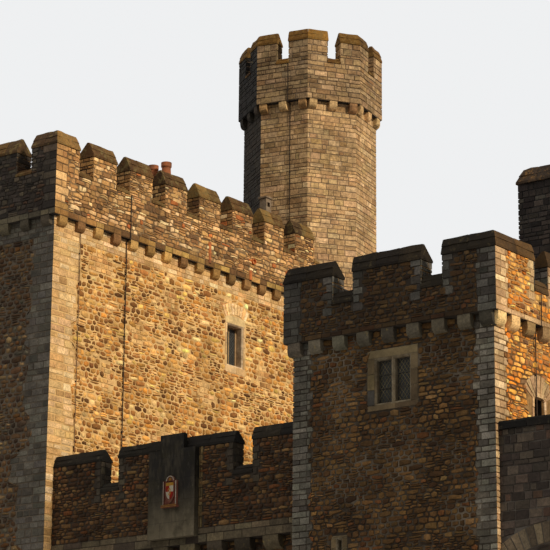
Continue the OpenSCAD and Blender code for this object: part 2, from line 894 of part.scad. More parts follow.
module gate_tower_corbels() {
  p = gt_proj;
  color([0.6, 0.56, 0.48])
    difference() {
      for (k = [0 : 3]) {
        len = k % 2 == 0 ? gt_w : gt_d;
        n = k % 2 == 0 ? gt_gaps_front : gt_gaps_side;
        gate_tower_sides(k)
          translate([p, 0, gt_h]) {
            for (i = [1 : n - 1])
              translate([i * len / n, 0, 0])
                corbel(gt_corbel_w, p, gt_corbel_h);
            translate([gt_corbel_w / 4 - p / 2, 0, 0])
              corbel(gt_corbel_w / 2 + p, p, gt_corbel_h);
            translate([len + p / 2 - gt_corbel_w / 4, 0, 0])
              corbel(gt_corbel_w / 2 + p, p, gt_corbel_h);
          }
      }
      rear_turret_space();
    }
}

module gate_tower_parapet() {
  p = gt_proj;
  color([0.45, 0.3, 0.22])
    difference() {
      for (k = [0 : 3])
        gate_tower_sides(k)
          translate([0, 0, gt_h])
            parapet_run((k % 2 == 0 ? gt_w : gt_d) + 2 * p, 1,
              k % 2 == 0 ? gt_leg_front : gt_leg_side,
              k % 2 == 0 ? gt_merlon_front : gt_merlon_side,
              gt_par_t, gt_breast, gt_merlon_h, 45);
      rear_turret_space();
    }
}

module gate_tower_copings() {
  p = gt_proj;
  color([0.3, 0.25, 0.2])
    difference() {
      for (k = [0 : 3])
        gate_tower_sides(k) {
          len = (k % 2 == 0 ? gt_w : gt_d) + 2 * p;
          leg = k % 2 == 0 ? gt_leg_front : gt_leg_side;
          merlon = k % 2 == 0 ? gt_merlon_front : gt_merlon_side;
          translate([0, 0, gt_h + gt_breast + gt_merlon_h])
            coping_run(len, 1, leg, merlon, gt_par_t, gt_cope_h, gt_ridge, 45);
          translate([0, 0, gt_h + gt_breast])
            sill_run(len, 1, leg, merlon, gt_par_t, gt_sill_h, gt_ridge);
        }
      rear_turret_space();
    }
}

module gate_tower_window_stones() {
  x = gt_x0 + gwin_x;
  hw = gwin_light + gwin_mull / 2;
  color([0.65, 0.58, 0.46])
    difference() {
      block([x - hw - gwin_jamb, gt_y0, gwin_z - gwin_sill],
            [x + hw + gwin_jamb, gt_y0 + gwin_depth, gwin_z + gwin_h + gwin_head]);
      for (s = [-1, 1])
        translate([x + s * (gwin_mull + gwin_light) / 2, gt_y0, gwin_z])
          window_cut(gwin_light, gwin_h, gwin_depth);
    }
}

module gate_tower_window_glass() {
  x = gt_x0 + gwin_x;
  color([0.1, 0.12, 0.14])
    for (s = [-1, 1])
      block([x + s * (gwin_mull + gwin_light) / 2 - gwin_light / 2, gt_y0 + gwin_inset, gwin_z],
            [x + s * (gwin_mull + gwin_light) / 2 + gwin_light / 2,
             gt_y0 + gwin_inset + glass_t, gwin_z + gwin_h]);
}

module slit_window_stones() {
  x = gt_x0 + slit_x;
  color([0.65, 0.58, 0.46])
    difference() {
      block([x - slit_w / 2 - slit_jamb, gt_y0, slit_z - 100],
            [x + slit_w / 2 + slit_jamb, gt_y0 + gwin_depth, slit_z + slit_h + 110]);
      translate([x, gt_y0, slit_z])
        window_cut(slit_w, slit_h, gwin_depth);
    }
}

// Gate wall

module gate_arch(depth) {
  rotate([90, 0, 0])
    translate([0, 0, -depth])
      linear_extrude(depth)
        union() {
          translate([-gw_arch_w / 2, -1])
            square([gw_arch_w, gw_spring + 1]);
          intersection() {
            translate([0, gw_crown - gw_arch_r])
              circle(r = gw_arch_r, $fn = 96);
            translate([-gw_arch_w / 2, gw_spring - 1])
              square([gw_arch_w, gw_arch_r]);
          }
        }
}

module gate_wall() {
  color([0.5, 0.44, 0.36])
    difference() {
      block([gt_x1, gw_y0, 0], [gt_x1 + gw_l, gw_y0 + gw_t, gw_h]);
      translate([gt_x1 + gw_arch_x, gw_y0 - 1, 0])
        gate_arch(gw_t + 2);
    }
}

module gate_wall_coping() {
  color([0.35, 0.3, 0.25])
    block([gt_x1, gw_y0 - gw_over, gw_h],
          [gt_x1 + gw_l + gw_over, gw_y0 + gw_t + gw_over, gw_h + gw_cope]);
}

// Rear turret

module rear_turret_walls() {
  color([0.3, 0.28, 0.26])
    difference() {
      block([rt_x0, gt_y1, 0], [gt_x1, rt_y1, rt_h]);
      block([rt_x0 + rt_t, gt_y1 + rt_t, floor_t],
            [gt_x1 - rt_t, rt_y1 - rt_t, rt_h + 1]);
      translate([(rt_x0 + gt_x1) / 2, rt_y1 - rt_t - 1, floor_t])
        doorway(rt_t + 2);
      for (z = [gt_floor1_z, gt_floor2_z, gt_h + keep_roof_t])
        translate([rt_door_x, gt_y1 - 1, z])
          doorway(rt_t + 2);
    }
}

module rear_turret_coping() {
  color([0.2, 0.18, 0.16])
    for (k = [0 : 3]) {
      len = k % 2 == 0 ? rt_w : rt_d;
      translate([0, 0, rt_h])
        on_side(rt_x0, gt_y1, gt_x1, rt_y1, k)
          intersection() {
            translate([-rt_over, 0, 0])
              rotate([90, 0, 90])
                linear_extrude(len + 2 * rt_over)
                  saddle(rt_t - rt_over, rt_over, rt_cope_h, rt_ridge);
            linear_extrude(rt_cope_h)
              polygon([[joint / 2 - rt_over, -rt_over], [len + rt_over - joint / 2, -rt_over],
                       [len - rt_t - joint / 2, rt_t], [rt_t + joint / 2, rt_t]]);
          }
    }
}

module rear_turret_roof() {
  color([0.4, 0.42, 0.44])
    block([rt_x0 + rt_t, gt_y1 + rt_t, rt_h - 900],
          [gt_x1 - rt_t, rt_y1 - rt_t, rt_h - 900 + floor_t]);
}

// Small pieces on the walls

// Round drain pipes and half-round tiles, bedded in the great tower's parapet.
module drain_spouts() {
  color([0.7, 0.35, 0.2])
    translate([keep_proj, 0, 0]) {
      for (y = [9560, 11450])
        translate([0, y, keep_h + keep_roof_t + 380])
          rotate([0, 90, 0])
            difference() {
              cylinder(r = spout_r, h = spout_l);
              translate([0, 0, 20])
                cylinder(r = spout_r - 20, h = spout_l);
            }
      for (t = [[7270, 110, 700], [9440, 20, 330]])
        translate([0, t[0], keep_h + t[1]])
          difference() {
            cylinder(r = tile_r, h = t[2]);
            translate([0, 0, -1])
              cylinder(r = tile_r - 16, h = t[2] + 2);
            translate([-2 * tile_r, -2 * tile_r, -1])
              cube([2 * tile_r, 4 * tile_r, t[2] + 2]);
          }
    }
}

// A conductor from a crenel: down the parapet, back under it and down the wall to z.
module conductor(p, h, breast, z) {
  block([p, 0, h - tape_t], [p + tape_t, tape_w, h + breast]);
  block([0, 0, h - tape_t], [p + tape_t, tape_w, h]);
  block([0, 0, z], [tape_t, tape_w, h]);
}

module lightning_conductors() {
  y1 = keep_corbel_at(keep_d, 4) - keep_corbel_w / 2 - tape_gap - tape_w;
  y2 = keep_corbel_at(keep_d, 1) + tape_gap;
  color([0.25, 0.2, 0.15]) {
    translate([0, y1, 0])
      conductor(keep_proj, keep_h, keep_breast, 0);
    block([0, y2, curtain_h], [tape_t, y2 + tape_w / 2, keep_h - keep_corbel_h]);
    translate([gt_x1, gt_y0 + 2.5 * gt_d / gt_gaps_side - tape_w / 2, 0])
      conductor(gt_proj, gt_h, gt_breast, gw_h + gw_cope);
    translate([turret_x, turret_y, 0])
      rotate(turret_turn + 6 * 45 + 90)
        translate([turret_side * 0.115, -turret_a, 0])
          rotate(-90)
            conductor(turret_proj, turret_h, turret_breast, keep_h + keep_roof_t);
  }
}

keep_front_wall();
keep_right_wall();
keep_rear_wall();
keep_left_wall();
keep_floors();
keep_roof();
keep_corbels();
keep_parapet();
keep_copings();
keep_window_stones();
keep_window_glass();
chimney_stack();
chimney_pots();
roof_flue();
turret_shaft();
turret_corbels();
turret_parapet();
turret_copings();
turret_roof();
curtain_wall();
curtain_corbels();
curtain_parapet();
curtain_copings();
panel_block();
shield_panel();
gate_tower_front_wall();
gate_tower_right_wall();
gate_tower_rear_wall();
gate_tower_left_wall();
gate_tower_floors();
gate_tower_roof();
gate_tower_corbels();
gate_tower_parapet();
gate_tower_copings();
gate_tower_window_stones();
gate_tower_window_glass();
slit_window_stones();
gate_wall();
gate_wall_coping();
rear_turret_walls();
rear_turret_coping();
rear_turret_roof();
drain_spouts();
lightning_conductors();
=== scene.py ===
import math

import bpy
import numpy as np
from mathutils import Matrix, Vector


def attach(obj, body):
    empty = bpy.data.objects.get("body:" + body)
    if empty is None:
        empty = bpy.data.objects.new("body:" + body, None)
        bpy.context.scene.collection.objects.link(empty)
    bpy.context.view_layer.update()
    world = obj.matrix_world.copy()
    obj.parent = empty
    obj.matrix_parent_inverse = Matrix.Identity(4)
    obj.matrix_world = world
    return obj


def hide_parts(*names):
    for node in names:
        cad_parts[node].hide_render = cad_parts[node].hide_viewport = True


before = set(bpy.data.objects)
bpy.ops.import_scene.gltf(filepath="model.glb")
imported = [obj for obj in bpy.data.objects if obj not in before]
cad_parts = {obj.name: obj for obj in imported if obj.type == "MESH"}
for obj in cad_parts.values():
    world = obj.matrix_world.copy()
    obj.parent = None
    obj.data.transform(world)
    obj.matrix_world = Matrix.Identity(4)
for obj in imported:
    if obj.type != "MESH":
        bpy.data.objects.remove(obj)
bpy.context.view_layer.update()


# Camera. It stands to the right and below the castle's ground, and looks up with a long lens.
def in_scene(name, data):
    """A new object of the scene that holds the data."""
    made = bpy.data.objects.new(name, data)
    bpy.context.scene.collection.objects.link(made)
    return made


yaw, pitch, roll = math.radians(37.442), math.radians(15.375), math.radians(0.483)
sight = Vector((-math.sin(yaw) * math.cos(pitch), math.cos(yaw) * math.cos(pitch), math.sin(pitch)))
level = Vector((math.cos(yaw), math.sin(yaw), 0))
upright = level.cross(sight)
side = level * math.cos(roll) + upright * math.sin(roll)
top = upright * math.cos(roll) - level * math.sin(roll)
camera = in_scene("camera", bpy.data.cameras.new("camera"))
camera.matrix_world = Matrix((side, top, -sight)).transposed().to_4x4()
camera.location = (48.23, -51.98, -4.60)
camera.data.lens = 159.3
camera.data.sensor_width = 36
camera.data.clip_end = 500
bpy.context.scene.camera = camera
bpy.context.scene.view_settings.view_transform = "Standard"


# Studio. A round pale floor and a pale world that lights from all sides; one broad soft lamp stands
# low on the right, so that the fronts lie in shade, and a weak, very broad one above the front.
def nodes_of(owner):
    """The owner's emptied node tree's adder of nodes: it sets a node's inputs, or links them to an output."""
    owner.use_nodes = True
    tree = owner.node_tree
    tree.nodes.clear()

    def add(kind, inputs=None, **settings):
        node = tree.nodes.new(kind)
        for key, value in settings.items():
            setattr(node, key, value)
        for key, value in (inputs or {}).items():
            if isinstance(value, bpy.types.NodeSocket):
                tree.links.new(value, node.inputs[key])
            else:
                node.inputs[key].default_value = value
        return node

    return add


def lamp_of(name, energy, breadth, colour, tilt, turn):
    """A lamp of parallel light, with its breadth, tilt and turn in degrees."""
    lamp = in_scene(name, bpy.data.lights.new(name, "SUN"))
    lamp.data.energy, lamp.data.angle, lamp.data.color = energy, math.radians(breadth), colour
    lamp.rotation_euler = (math.radians(tilt), 0, math.radians(turn))


world = bpy.data.worlds.new("studio")
bpy.context.scene.world = world
add = nodes_of(world)
rays = add("ShaderNodeLightPath").outputs
seen = add("ShaderNodeMath", {0: rays["Is Camera Ray"], 1: rays["Is Glossy Ray"]}, operation="MAXIMUM")
seen = add("ShaderNodeMath", {0: seen.outputs[0], 1: rays["Is Transmission Ray"]}, operation="MAXIMUM")
lit = add("ShaderNodeBackground", {"Color": (0.97, 0.98, 1, 1), "Strength": 0.26})
shown = add("ShaderNodeBackground", {"Color": (0.86, 0.87, 0.88, 1), "Strength": 1})
both = add("ShaderNodeMixShader", {0: seen.outputs[0], 1: lit.outputs[0], 2: shown.outputs[0]})
add("ShaderNodeOutputWorld", {"Surface": both.outputs[0]})
lamp_of("key", 3.35, 10, (1, 0.94, 0.84), 60, 88)
lamp_of("sky", 1.0, 50, (1, 0.98, 0.95), 38, -18)

FLOOR_X, FLOOR_Y, FLOOR_RADIUS, FLOOR_CORNERS = 5.7, 7, 26, 128
turns = np.linspace(0, 2 * math.pi, FLOOR_CORNERS, endpoint=False)
rim = [(FLOOR_X + FLOOR_RADIUS * math.cos(t), FLOOR_Y + FLOOR_RADIUS * math.sin(t), 0) for t in turns]
floor = in_scene("floor", bpy.data.meshes.new("floor"))
floor.data.from_pydata(rim, [], [list(range(FLOOR_CORNERS))])
floor.data.materials.append(bpy.data.materials.new("floor"))
add = nodes_of(floor.data.materials[0])
matt = add("ShaderNodeBsdfDiffuse", {"Color": (0.62, 0.62, 0.63, 1)})
glow = add("ShaderNodeEmission", {"Color": (1, 1, 1, 1), "Strength": 0.22})
summed = add("ShaderNodeAddShader", {0: matt.outputs[0], 1: glow.outputs[0]})
seen = add("ShaderNodeLightPath").outputs["Is Camera Ray"]
both = add("ShaderNodeMixShader", {0: seen, 1: matt.outputs[0], 2: summed.outputs[0]})
add("ShaderNodeOutputMaterial", {"Surface": both.outputs[0]})


# Great tower, walls. Small rounded field stones, brown, plum and cream, laid in rough courses in a
# thick golden lime mortar, which is the wall's own face; dressed pale stones bond the corners and
# make a band under the corbels.
def wall_of(x, y, angle, length, turn=(1, 1)):
    """A wall face seen from outside: from (x, y) along the angle in degrees; turn is the slant of its end stones."""
    c, s = math.cos(math.radians(angle)), math.sin(math.radians(angle))
    return {"start": np.array([x, y]), "along": np.array([c, s]), "out": np.array([s, -c]),
            "length": length, "turn": turn, "angle": angle}


def four_walls(x0, y0, x1, y1):
    """The four outer faces of a rectangular tower: front, right, rear and left."""
    return [wall_of(x0, y0, 0, x1 - x0), wall_of(x1, y0, 90, y1 - y0),
            wall_of(x1, y1, 180, x1 - x0), wall_of(x0, y1, 270, y1 - y0)]


def placed(wall, s, z, h):
    """Points of a wall: start + along * s + out * h, at height z. s, z and h are arrays of one shape."""
    s, z, h = np.broadcast_arrays(s, z, h)
    flat = wall["start"] + s[..., None] * wall["along"] + h[..., None] * wall["out"]
    return np.concatenate([flat, z[..., None]], -1)


def beds_of(rng, low, high, height, spread=0.3):
    """Bed lines from low to high: about height apart, each course off by up to spread of it."""
    n = max(1, round((high - low) / height))
    steps = 1 + spread * rng.uniform(-1, 1, n)
    return low + (high - low) * np.concatenate([[0], np.cumsum(steps) / steps.sum()])


def between(a, b, beds):
    """A stone from a to b in each course, as rows of (s low, s high, z low, z high); a and b may change by course."""
    return np.column_stack(np.broadcast_arrays(a, b, beds[:-1], beds[1:]))


def coursed(rng, s0, s1, beds, length, spread=0.45):
    """Rows of the stones of straight courses, of random lengths, scaled to fill s0 to s1."""
    rows, n = len(beds) - 1, max(1, round((s1 - s0) / length))
    steps = 1 + spread * rng.uniform(-1, 1, (rows, n + 1))
    steps[:, 0] *= np.where(np.arange(rows) % 2 == 0, 0.35, 0.9)
    ends = s0 + (s1 - s0) * np.cumsum(steps, 1) / steps.sum(1, keepdims=True)
    starts = np.concatenate([np.full((rows, 1), s0), ends[:, :-1]], 1)
    return np.stack([starts.ravel(), ends.ravel(), np.repeat(beds[:-1], n + 1), np.repeat(beds[1:], n + 1)], 1)


def cut(stones, holes, least=0.05):
    """Stones cut back to the edge of each box hole that they cross, or dropped where less than least is left."""
    for a, b, low, high in holes:
        s0, s1, z0, z1 = stones.T
        hit = (s1 > a) & (s0 < b) & (z1 > low) & (z0 < high)
        room = np.stack([a - s0, s1 - b, low - z0, z1 - high], 1)
        best, stones = room.argmax(1), stones.copy()
        for way, (column, nearest, edge) in enumerate(((1, np.minimum, a), (0, np.maximum, b),
                                                       (3, np.minimum, low), (2, np.maximum, high))):
            at = hit & (best == way)
            stones[at, column] = nearest(stones[at, column], edge)
        stones = stones[~hit | (room.max(1) > least)]
    return stones


def squared(stones):
    """Corners (n, 4, 2), anticlockwise, of rows of stones."""
    return stones[:, [[0, 2], [1, 2], [1, 3], [0, 3]]]


def inset(rings, by):
    """Rings (n, k, 2), anticlockwise, drawn in by `by`: each corner moves along the sum of its two edges' normals."""
    edge = np.roll(rings, -1, 1) - rings
    edge = edge / np.maximum(np.linalg.norm(edge, axis=-1, keepdims=True), 1e-6)
    inward = np.stack([-edge[..., 1], edge[..., 0]], -1)
    both = inward + np.roll(inward, 1, 1)
    return rings + both * (by / np.maximum((both * inward).sum(-1, keepdims=True), 0.35))


def clear(rings, holes):
    """Rings kept out of holes: a stone whose middle lies in one goes, a corner in one moves to its nearest edge.
    A hole is a box (s low, s high, z low, z high) or a circle (s, z, radius)."""
    rings, kept = rings.copy(), np.ones(len(rings), bool)
    for hole in holes:
        s, z, middle = rings[..., 0].copy(), rings[..., 1].copy(), rings.mean(1)
        if len(hole) == 4:
            box = np.array(hole)
            deep = np.stack([s - box[0], box[1] - s, z - box[2], box[3] - z], -1)
            hit, best = (deep > 0).all(-1), deep.argmin(-1)
            rings[..., 0] = np.where(hit & (best < 2), box[np.minimum(best, 1)], s)
            rings[..., 1] = np.where(hit & (best > 1), box[np.maximum(best, 2)], z)
            kept &= ~((middle > box[::2]) & (middle < box[1::2])).all(1)
        else:
            centre, radius = np.array(hole[:2]), hole[2]
            reach = np.maximum(np.hypot(s - centre[0], z - centre[1]), 1e-6)
            rings = centre + (rings - centre) * np.maximum(radius / reach, 1)[..., None]
            kept &= np.hypot(*(middle - centre).T) > radius
    return rings[kept]


def toned(palette, factor):
    """A palette made darker or lighter as a whole by a factor of its light, and greyer as it darkens."""
    scale = factor ** (1 / 2.2)
    grey = max(0, 0.9 - scale) * 0.9
    return [(*(min(255, (c + (sum(rgb) / 3 - c) * grey) * scale) for c in rgb), weight) for *rgb, weight in palette]


def tints(rng, n, palette, spread=0.12):
    """n stone colours, linear, drawn from the palette's (sRGB 0-255, weight) rows, each a little lighter or darker."""
    rows = np.array(palette, float)
    picked = (rows[:, :3] / 255)[rng.choice(len(rows), n, p=rows[:, 3] / rows[:, 3].sum())] ** 2.2
    return np.clip(picked * np.exp(spread * rng.normal(size=(n, 1))) * (1 + 0.02 * rng.normal(size=(n, 3))), 0, 1)


def drift(rng, s, z, size):
    """A smooth random field, about -1 to 1: the mean of six sine waves of random headings, each about size long."""
    heading, phase = rng.uniform(0, math.pi, 6), rng.uniform(0, 6.3, 6)
    wave = rng.uniform(0.6, 1.6, 6) * size
    across = s[..., None] * np.cos(heading) + z[..., None] * np.sin(heading)
    return np.sin(across * 2 * math.pi / wave + phase).mean(-1) * 2


def rubble(wall, box, size, rng, palette, edges=(None, None), holes=(), joint=0.03, proud=0.03, rounding=0.45,
           spread=0.14, flat=False, merged=0.2, split=0.25, drifting=0.14):
    """Rubble in rough courses: a brick-bond lattice of six-cornered cells, its joints and beds shifted at random. Some
    cells join the next one and some, in patches, split into two thin slabs. Each cell is drawn in by half the joint
    and rounded towards its neighbours' mean; a smaller raised ring and a crown point dome it. Edges are functions of
    the height that the cells end at."""
    s0, s1, z0, z1 = box
    length, height = size
    rows, count = max(1, round((z1 - z0) / height)), 2 * round((s1 - s0) / length) + 5
    i, b = np.arange(count), np.arange(rows + 1)[:, None]
    shift, lean = rng.uniform(-0.24, 0.24, (rows + 2, count)), rng.uniform(-0.07, 0.07, (rows + 1, count))
    above = (i + b) % 2 == 0
    s = s0 + (i / 2 - 1) * length + length * (np.where(above, shift[1:], shift[:-1]) + lean)
    z = beds_of(rng, z0, z1, height, 0.25)[:, None]
    z = z + height * rng.uniform(-0.27, 0.27, s.shape) * ((b > 0) & (b < rows))
    points = np.stack([s, z], -1)
    r, c = np.nonzero(above[:-1, :-2])
    rings = np.stack([points[r, c], points[r, c + 1], points[r, c + 2],
                      points[r + 1, c + 2], points[r + 1, c + 1], points[r + 1, c]], 1)
    joined = (rng.uniform(size=len(r)) < merged) & np.append(r[1:] == r[:-1], False)
    joined[1:] &= ~joined[:-1]
    after = np.roll(rings, -1, 0)
    longer = np.stack([rings[:, 0], rings[:, 2], after[:, 2], after[:, 3], rings[:, 3], rings[:, 5]], 1)
    rings = np.where(joined[:, None, None], longer, rings)[~np.append(False, joined[:-1])]
    middle = rings.mean(1)
    thin = rng.uniform(size=len(rings)) < split * (1 + 1.3 * drift(rng, middle[:, 0], middle[:, 1] * 1.6, 2.4))
    where = rng.uniform(0.4, 0.6, (thin.sum(), 1, 1))
    whole = rings[thin]
    waist = whole[:, :3] * (1 - where) + whole[:, [5, 4, 3]] * where
    rings = np.concatenate([rings[~thin], np.concatenate([whole[:, :3], waist[:, ::-1]], 1),
                            np.concatenate([waist, whole[:, 3:]], 1)])
    low = np.maximum(s0, edges[0](rings[..., 1])) if edges[0] else s0
    high = np.minimum(s1, edges[1](rings[..., 1])) if edges[1] else s1
    rings[..., 0] = np.clip(rings[..., 0], low, high)
    rings = clear(rings, holes)
    span = rings.max(1) - rings.min(1)
    after = np.roll(rings, -1, 1)
    area = 0.5 * (rings[..., 0] * after[..., 1] - after[..., 0] * rings[..., 1]).sum(1)
    rings = rings[(span[:, 0] > 0.34 * length) & (span[:, 1] > 0.27 * height) & (area > 0.27 * length * height)]
    n, k = rings.shape[:2]
    small = (rings.max(1) - rings.min(1)).min(1)
    foot = inset(rings, np.minimum(joint / 2 * rng.uniform(0.6, 1.5, n), 0.17 * small)[:, None, None])
    rounding = rounding * rng.uniform(0.4, 1.3, (n, 1, 1))
    foot = foot * (1 - rounding) + (np.roll(foot, 1, 1) + np.roll(foot, -1, 1)) * rounding / 2
    middle = foot.mean(1, keepdims=True)
    foot = middle + (foot - middle) * (1 + 0.42 * rounding)
    brow = middle + (foot - middle) * rng.uniform(0.68, 0.84, (n, k, 1))
    rise = proud * rng.uniform(0.45, 1.1, (n, 1))
    verts = np.concatenate([placed(wall, foot[..., 0], foot[..., 1], -0.006),
                            placed(wall, brow[..., 0], brow[..., 1], rise * rng.uniform(0.7, 0.98, (n, k))),
                            placed(wall, middle[..., 0], middle[..., 1], rise)], 1)
    after = [(a + 1) % k for a in range(k)]
    faces = [(a, after[a], after[a] + k, a + k) for a in range(k)]
    faces += [(a + k, after[a] + k, 2 * k) for a in range(k)]
    tint = tints(rng, n, palette, spread)
    tint = tint * np.exp(drifting * drift(rng, middle[:, 0, 0], middle[:, 0, 1], 1.8))[:, None]
    # The foot ring's rim of 0.55 darkens each stone towards its joints: dirt there and painted shade.
    return {"verts": verts, "faces": faces, "tint": np.clip(tint, 0, 1), "smooth": not flat,
            "rim": np.tile(np.repeat([0.55, 1.0], [k, k + 1]), (n, 1))}


def blocks(wall, corners, rng, palette, joint=0.012, proud=0.016, worn=0.011, spread=0.12, base=0.0):
    """Dressed stones from corners (n, 4, 2) on the wall: a ring at the joint and a smaller raised face. A stone at the
    wall's end runs past it by its slant times its height, to meet the next wall's stone."""
    n = len(corners)
    small = (corners.max(1) - corners.min(1)).min(1)
    back = inset(corners, np.minimum(joint / 2 * rng.uniform(0.4, 1.7, n), 0.2 * small)[:, None, None])
    back = back + rng.uniform(-0.35, 0.35, back.shape) * joint
    back[..., 0] += 0.35 * (corners[..., 0] - back[..., 0])
    front = inset(back, np.minimum(worn * rng.uniform(0.4, 1.8, n), 0.22 * small)[:, None, None])
    front = front + rng.uniform(-0.3, 0.3, front.shape) * worn
    height = proud * (rng.uniform(0.45, 1.1, (n, 1)) + rng.uniform(-0.14, 0.14, (n, 4)))
    for end, way, slant in ((0, -1, wall["turn"][0]), (wall["length"], 1, wall["turn"][1])):
        at = np.abs(corners[..., 0] - end) < 1e-3
        height[at] = proud
        back[at, 0] = end
        front[at, 0] = end + way * slant * proud
    verts = np.concatenate([placed(wall, back[..., 0], back[..., 1], base - 0.005),
                            placed(wall, front[..., 0], front[..., 1], base + height)], 1)
    faces = [(k, (k + 1) % 4, (k + 1) % 4 + 4, k + 4) for k in range(4)] + [(4, 5, 6, 7)]
    # The back ring's rim darkens each stone towards its joints: dirt there and painted shade.
    rim = np.where(np.arange(8) < 4, rng.uniform(0.22, 0.85, (n, 1)), 1.0)
    return {"verts": verts, "faces": faces, "tint": tints(rng, n, palette, spread), "rim": rim, "smooth": False}


def quoins(rng, beds, reach, ragged, length, toothed=0.0):
    """Rows of a corner's dressed stones, from the corner, and a function of the height for their far edge: reach plus
    or minus ragged by turns, and toothed more or less in groups of five courses, in stones about length long."""
    rows = len(beds) - 1
    turn = np.where(np.arange(rows) % 2 == 0, 1, -1)
    far = reach + ragged * (0.4 * turn + rng.uniform(-0.8, 0.8, rows))
    if toothed:
        far = far + toothed * np.repeat(rng.uniform(-1, 1, rows // 5 + 1), 5)[:rows]
    n = max(1, round((reach + ragged + toothed) / length)) + 1
    steps = length * rng.uniform(0.7, 1.35, (rows, n))
    steps[:, 0] = length * (1 + 0.35 * turn)
    ends = np.minimum(np.cumsum(steps, 1), far[:, None])
    ends[np.abs(ends - far[:, None]) < 0.1] = 0
    ends = np.maximum(ends, np.where(ends == 0, far[:, None], 0))
    starts = np.concatenate([np.zeros((rows, 1)), ends[:, :-1]], 1)
    stones = np.stack([starts.ravel(), ends.ravel(), np.repeat(beds[:-1], n), np.repeat(beds[1:], n)], 1)
    stones = stones[stones[:, 1] - stones[:, 0] > 0.04]
    return stones, lambda z: far[np.clip(np.searchsorted(beds, z, "right") - 1, 0, rows - 1)]


def mirrored(wall, stones):
    """Rows of stones measured back from the wall's far end."""
    return np.column_stack([wall["length"] - stones[:, [1, 0]], stones[:, 2:]])


def walling(wall, rng, corners, box, size, palettes, holes, laid, dressed):
    """Rubble between the quoins of a wall's near and far corner, and those quoins: three groups of stones. Laid and
    dressed say how."""
    (near, near_edge), (far, far_edge) = corners
    edges = near_edge, lambda z: wall["length"] - far_edge(z)
    return [rubble(wall, box, size, rng, palettes[0], edges, holes, **laid),
            blocks(wall, squared(near), rng, palettes[1], **dressed),
            blocks(wall, squared(mirrored(wall, far)), rng, palettes[2], **dressed)]


def chosen(part, kept):
    """The group of stones with only those that the mask keeps."""
    return {**part, **{key: part[key][kept] for key in ("verts", "tint", "rim") if key in part}}


def piece(name, parts, material, replaces=()):
    verts, tint, loops, sizes, smooth, base = [], [], [], [], [], 0
    for part in parts:
        n, per = part["verts"].shape[:2]
        if not n:
            continue
        verts.append(part["verts"].reshape(-1, 3))
        # Each point's tint times its rim, which darkens the stones at their joints with dirt and painted shade.
        rim = np.broadcast_to(part.get("rim", 1.0), (n, per))
        tint.append((part["tint"].reshape(n, -1, 3) * rim[..., None]).reshape(-1, 3))
        flat = np.concatenate([np.array(f) for f in part["faces"]])
        loops.append((flat[None] + base + np.arange(n)[:, None] * per).ravel())
        sizes.append(np.tile([len(f) for f in part["faces"]], n))
        smooth.append(np.full(n * len(part["faces"]), part["smooth"]))
        base += n * per
    verts, tint, loops, sizes, smooth = (np.concatenate(x) for x in (verts, tint, loops, sizes, smooth))
    verts[:, 2] = np.maximum(verts[:, 2], 0)
    mesh = bpy.data.meshes.new(name)
    for owner, count, field, values in (
            (mesh.vertices, len(verts), "co", verts.astype(np.float32).ravel()),
            (mesh.loops, len(loops), "vertex_index", loops.astype(np.int32)),
            (mesh.polygons, len(sizes), "loop_start", np.append(0, np.cumsum(sizes)[:-1]).astype(np.int32))):
        owner.add(count)
        owner.foreach_set(field, values)
    mesh.polygons.foreach_set("use_smooth", smooth)
    mesh.update(calc_edges=True)
    layer = mesh.attributes.new("stone_tint", "FLOAT_COLOR", "POINT")
    layer.data.foreach_set("color", np.column_stack([tint, np.ones(len(tint))]).astype(np.float32).ravel())
    mesh.materials.append(material)
    made = in_scene(name, mesh)
    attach(made, "root")
    if replaces:
        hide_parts(*replaces)


class Finish:
    """A new material. Each method adds one node, in Object coordinates where it has a pattern, and gives its output;
    the last, done, gives the material."""

    def __init__(self, name):
        self.material = bpy.data.materials.new(name)
        self.add = nodes_of(self.material)
        self.where = self.add("ShaderNodeTexCoord").outputs["Object"]

    def noise(self, scale, detail, rough=0.5):
        """Noise, about 0.3 to 0.7; a scale of three numbers stretches it."""
        where = self.where
        if isinstance(scale, tuple):
            where, scale = self.mapped(Scale=scale), 1
        inputs = {"Vector": where, "Scale": scale, "Detail": detail, "Roughness": rough}
        return self.add("ShaderNodeTexNoise", inputs).outputs[0]

    def mapped(self, **how):
        """The Object coordinates scaled or turned."""
        return self.add("ShaderNodeMapping", {"Vector": self.where, **how}).outputs[0]

    def ranged(self, value, low, high, to_low=0.0, to_high=1.0):
        """The value's range low to high made to_low to to_high, and held there."""
        return self.add("ShaderNodeMapRange", {0: value, 1: low, 2: high, 3: to_low, 4: to_high}).outputs[0]

    def math(self, operation, first, second, **settings):
        """The two values multiplied or added."""
        return self.add("ShaderNodeMath", {0: first, 1: second}, operation=operation, **settings).outputs[0]

    def mixed(self, share, first, second, kind="MIX"):
        """From the first colour to the second by the share."""
        first, second = ((*c, 1) if isinstance(c, tuple) else c for c in (first, second))
        return self.add("ShaderNodeMix", {0: share, 6: first, 7: second}, data_type="RGBA", blend_type=kind).outputs[2]

    def shaded(self, colour, shade):
        """The colour times the shade."""
        return self.add("ShaderNodeVectorMath", {0: colour, "Scale": shade}, operation="SCALE").outputs[0]

    def done(self, colour, rough, height, distance, strength=1.0, **own):
        """The finished material: its colour, roughness and relief, and the shader's own other values."""
        relief = self.add("ShaderNodeBump", {"Height": height, "Distance": distance, "Strength": strength}).outputs[0]
        inputs = {"Base Color": colour, "Roughness": rough, "Normal": relief}
        inputs |= {key.replace("_", " "): value for key, value in own.items()}
        shader = self.add("ShaderNodeBsdfPrincipled", inputs)
        self.add("ShaderNodeOutputMaterial", {"Surface": shader.outputs[0]})
        return self.material


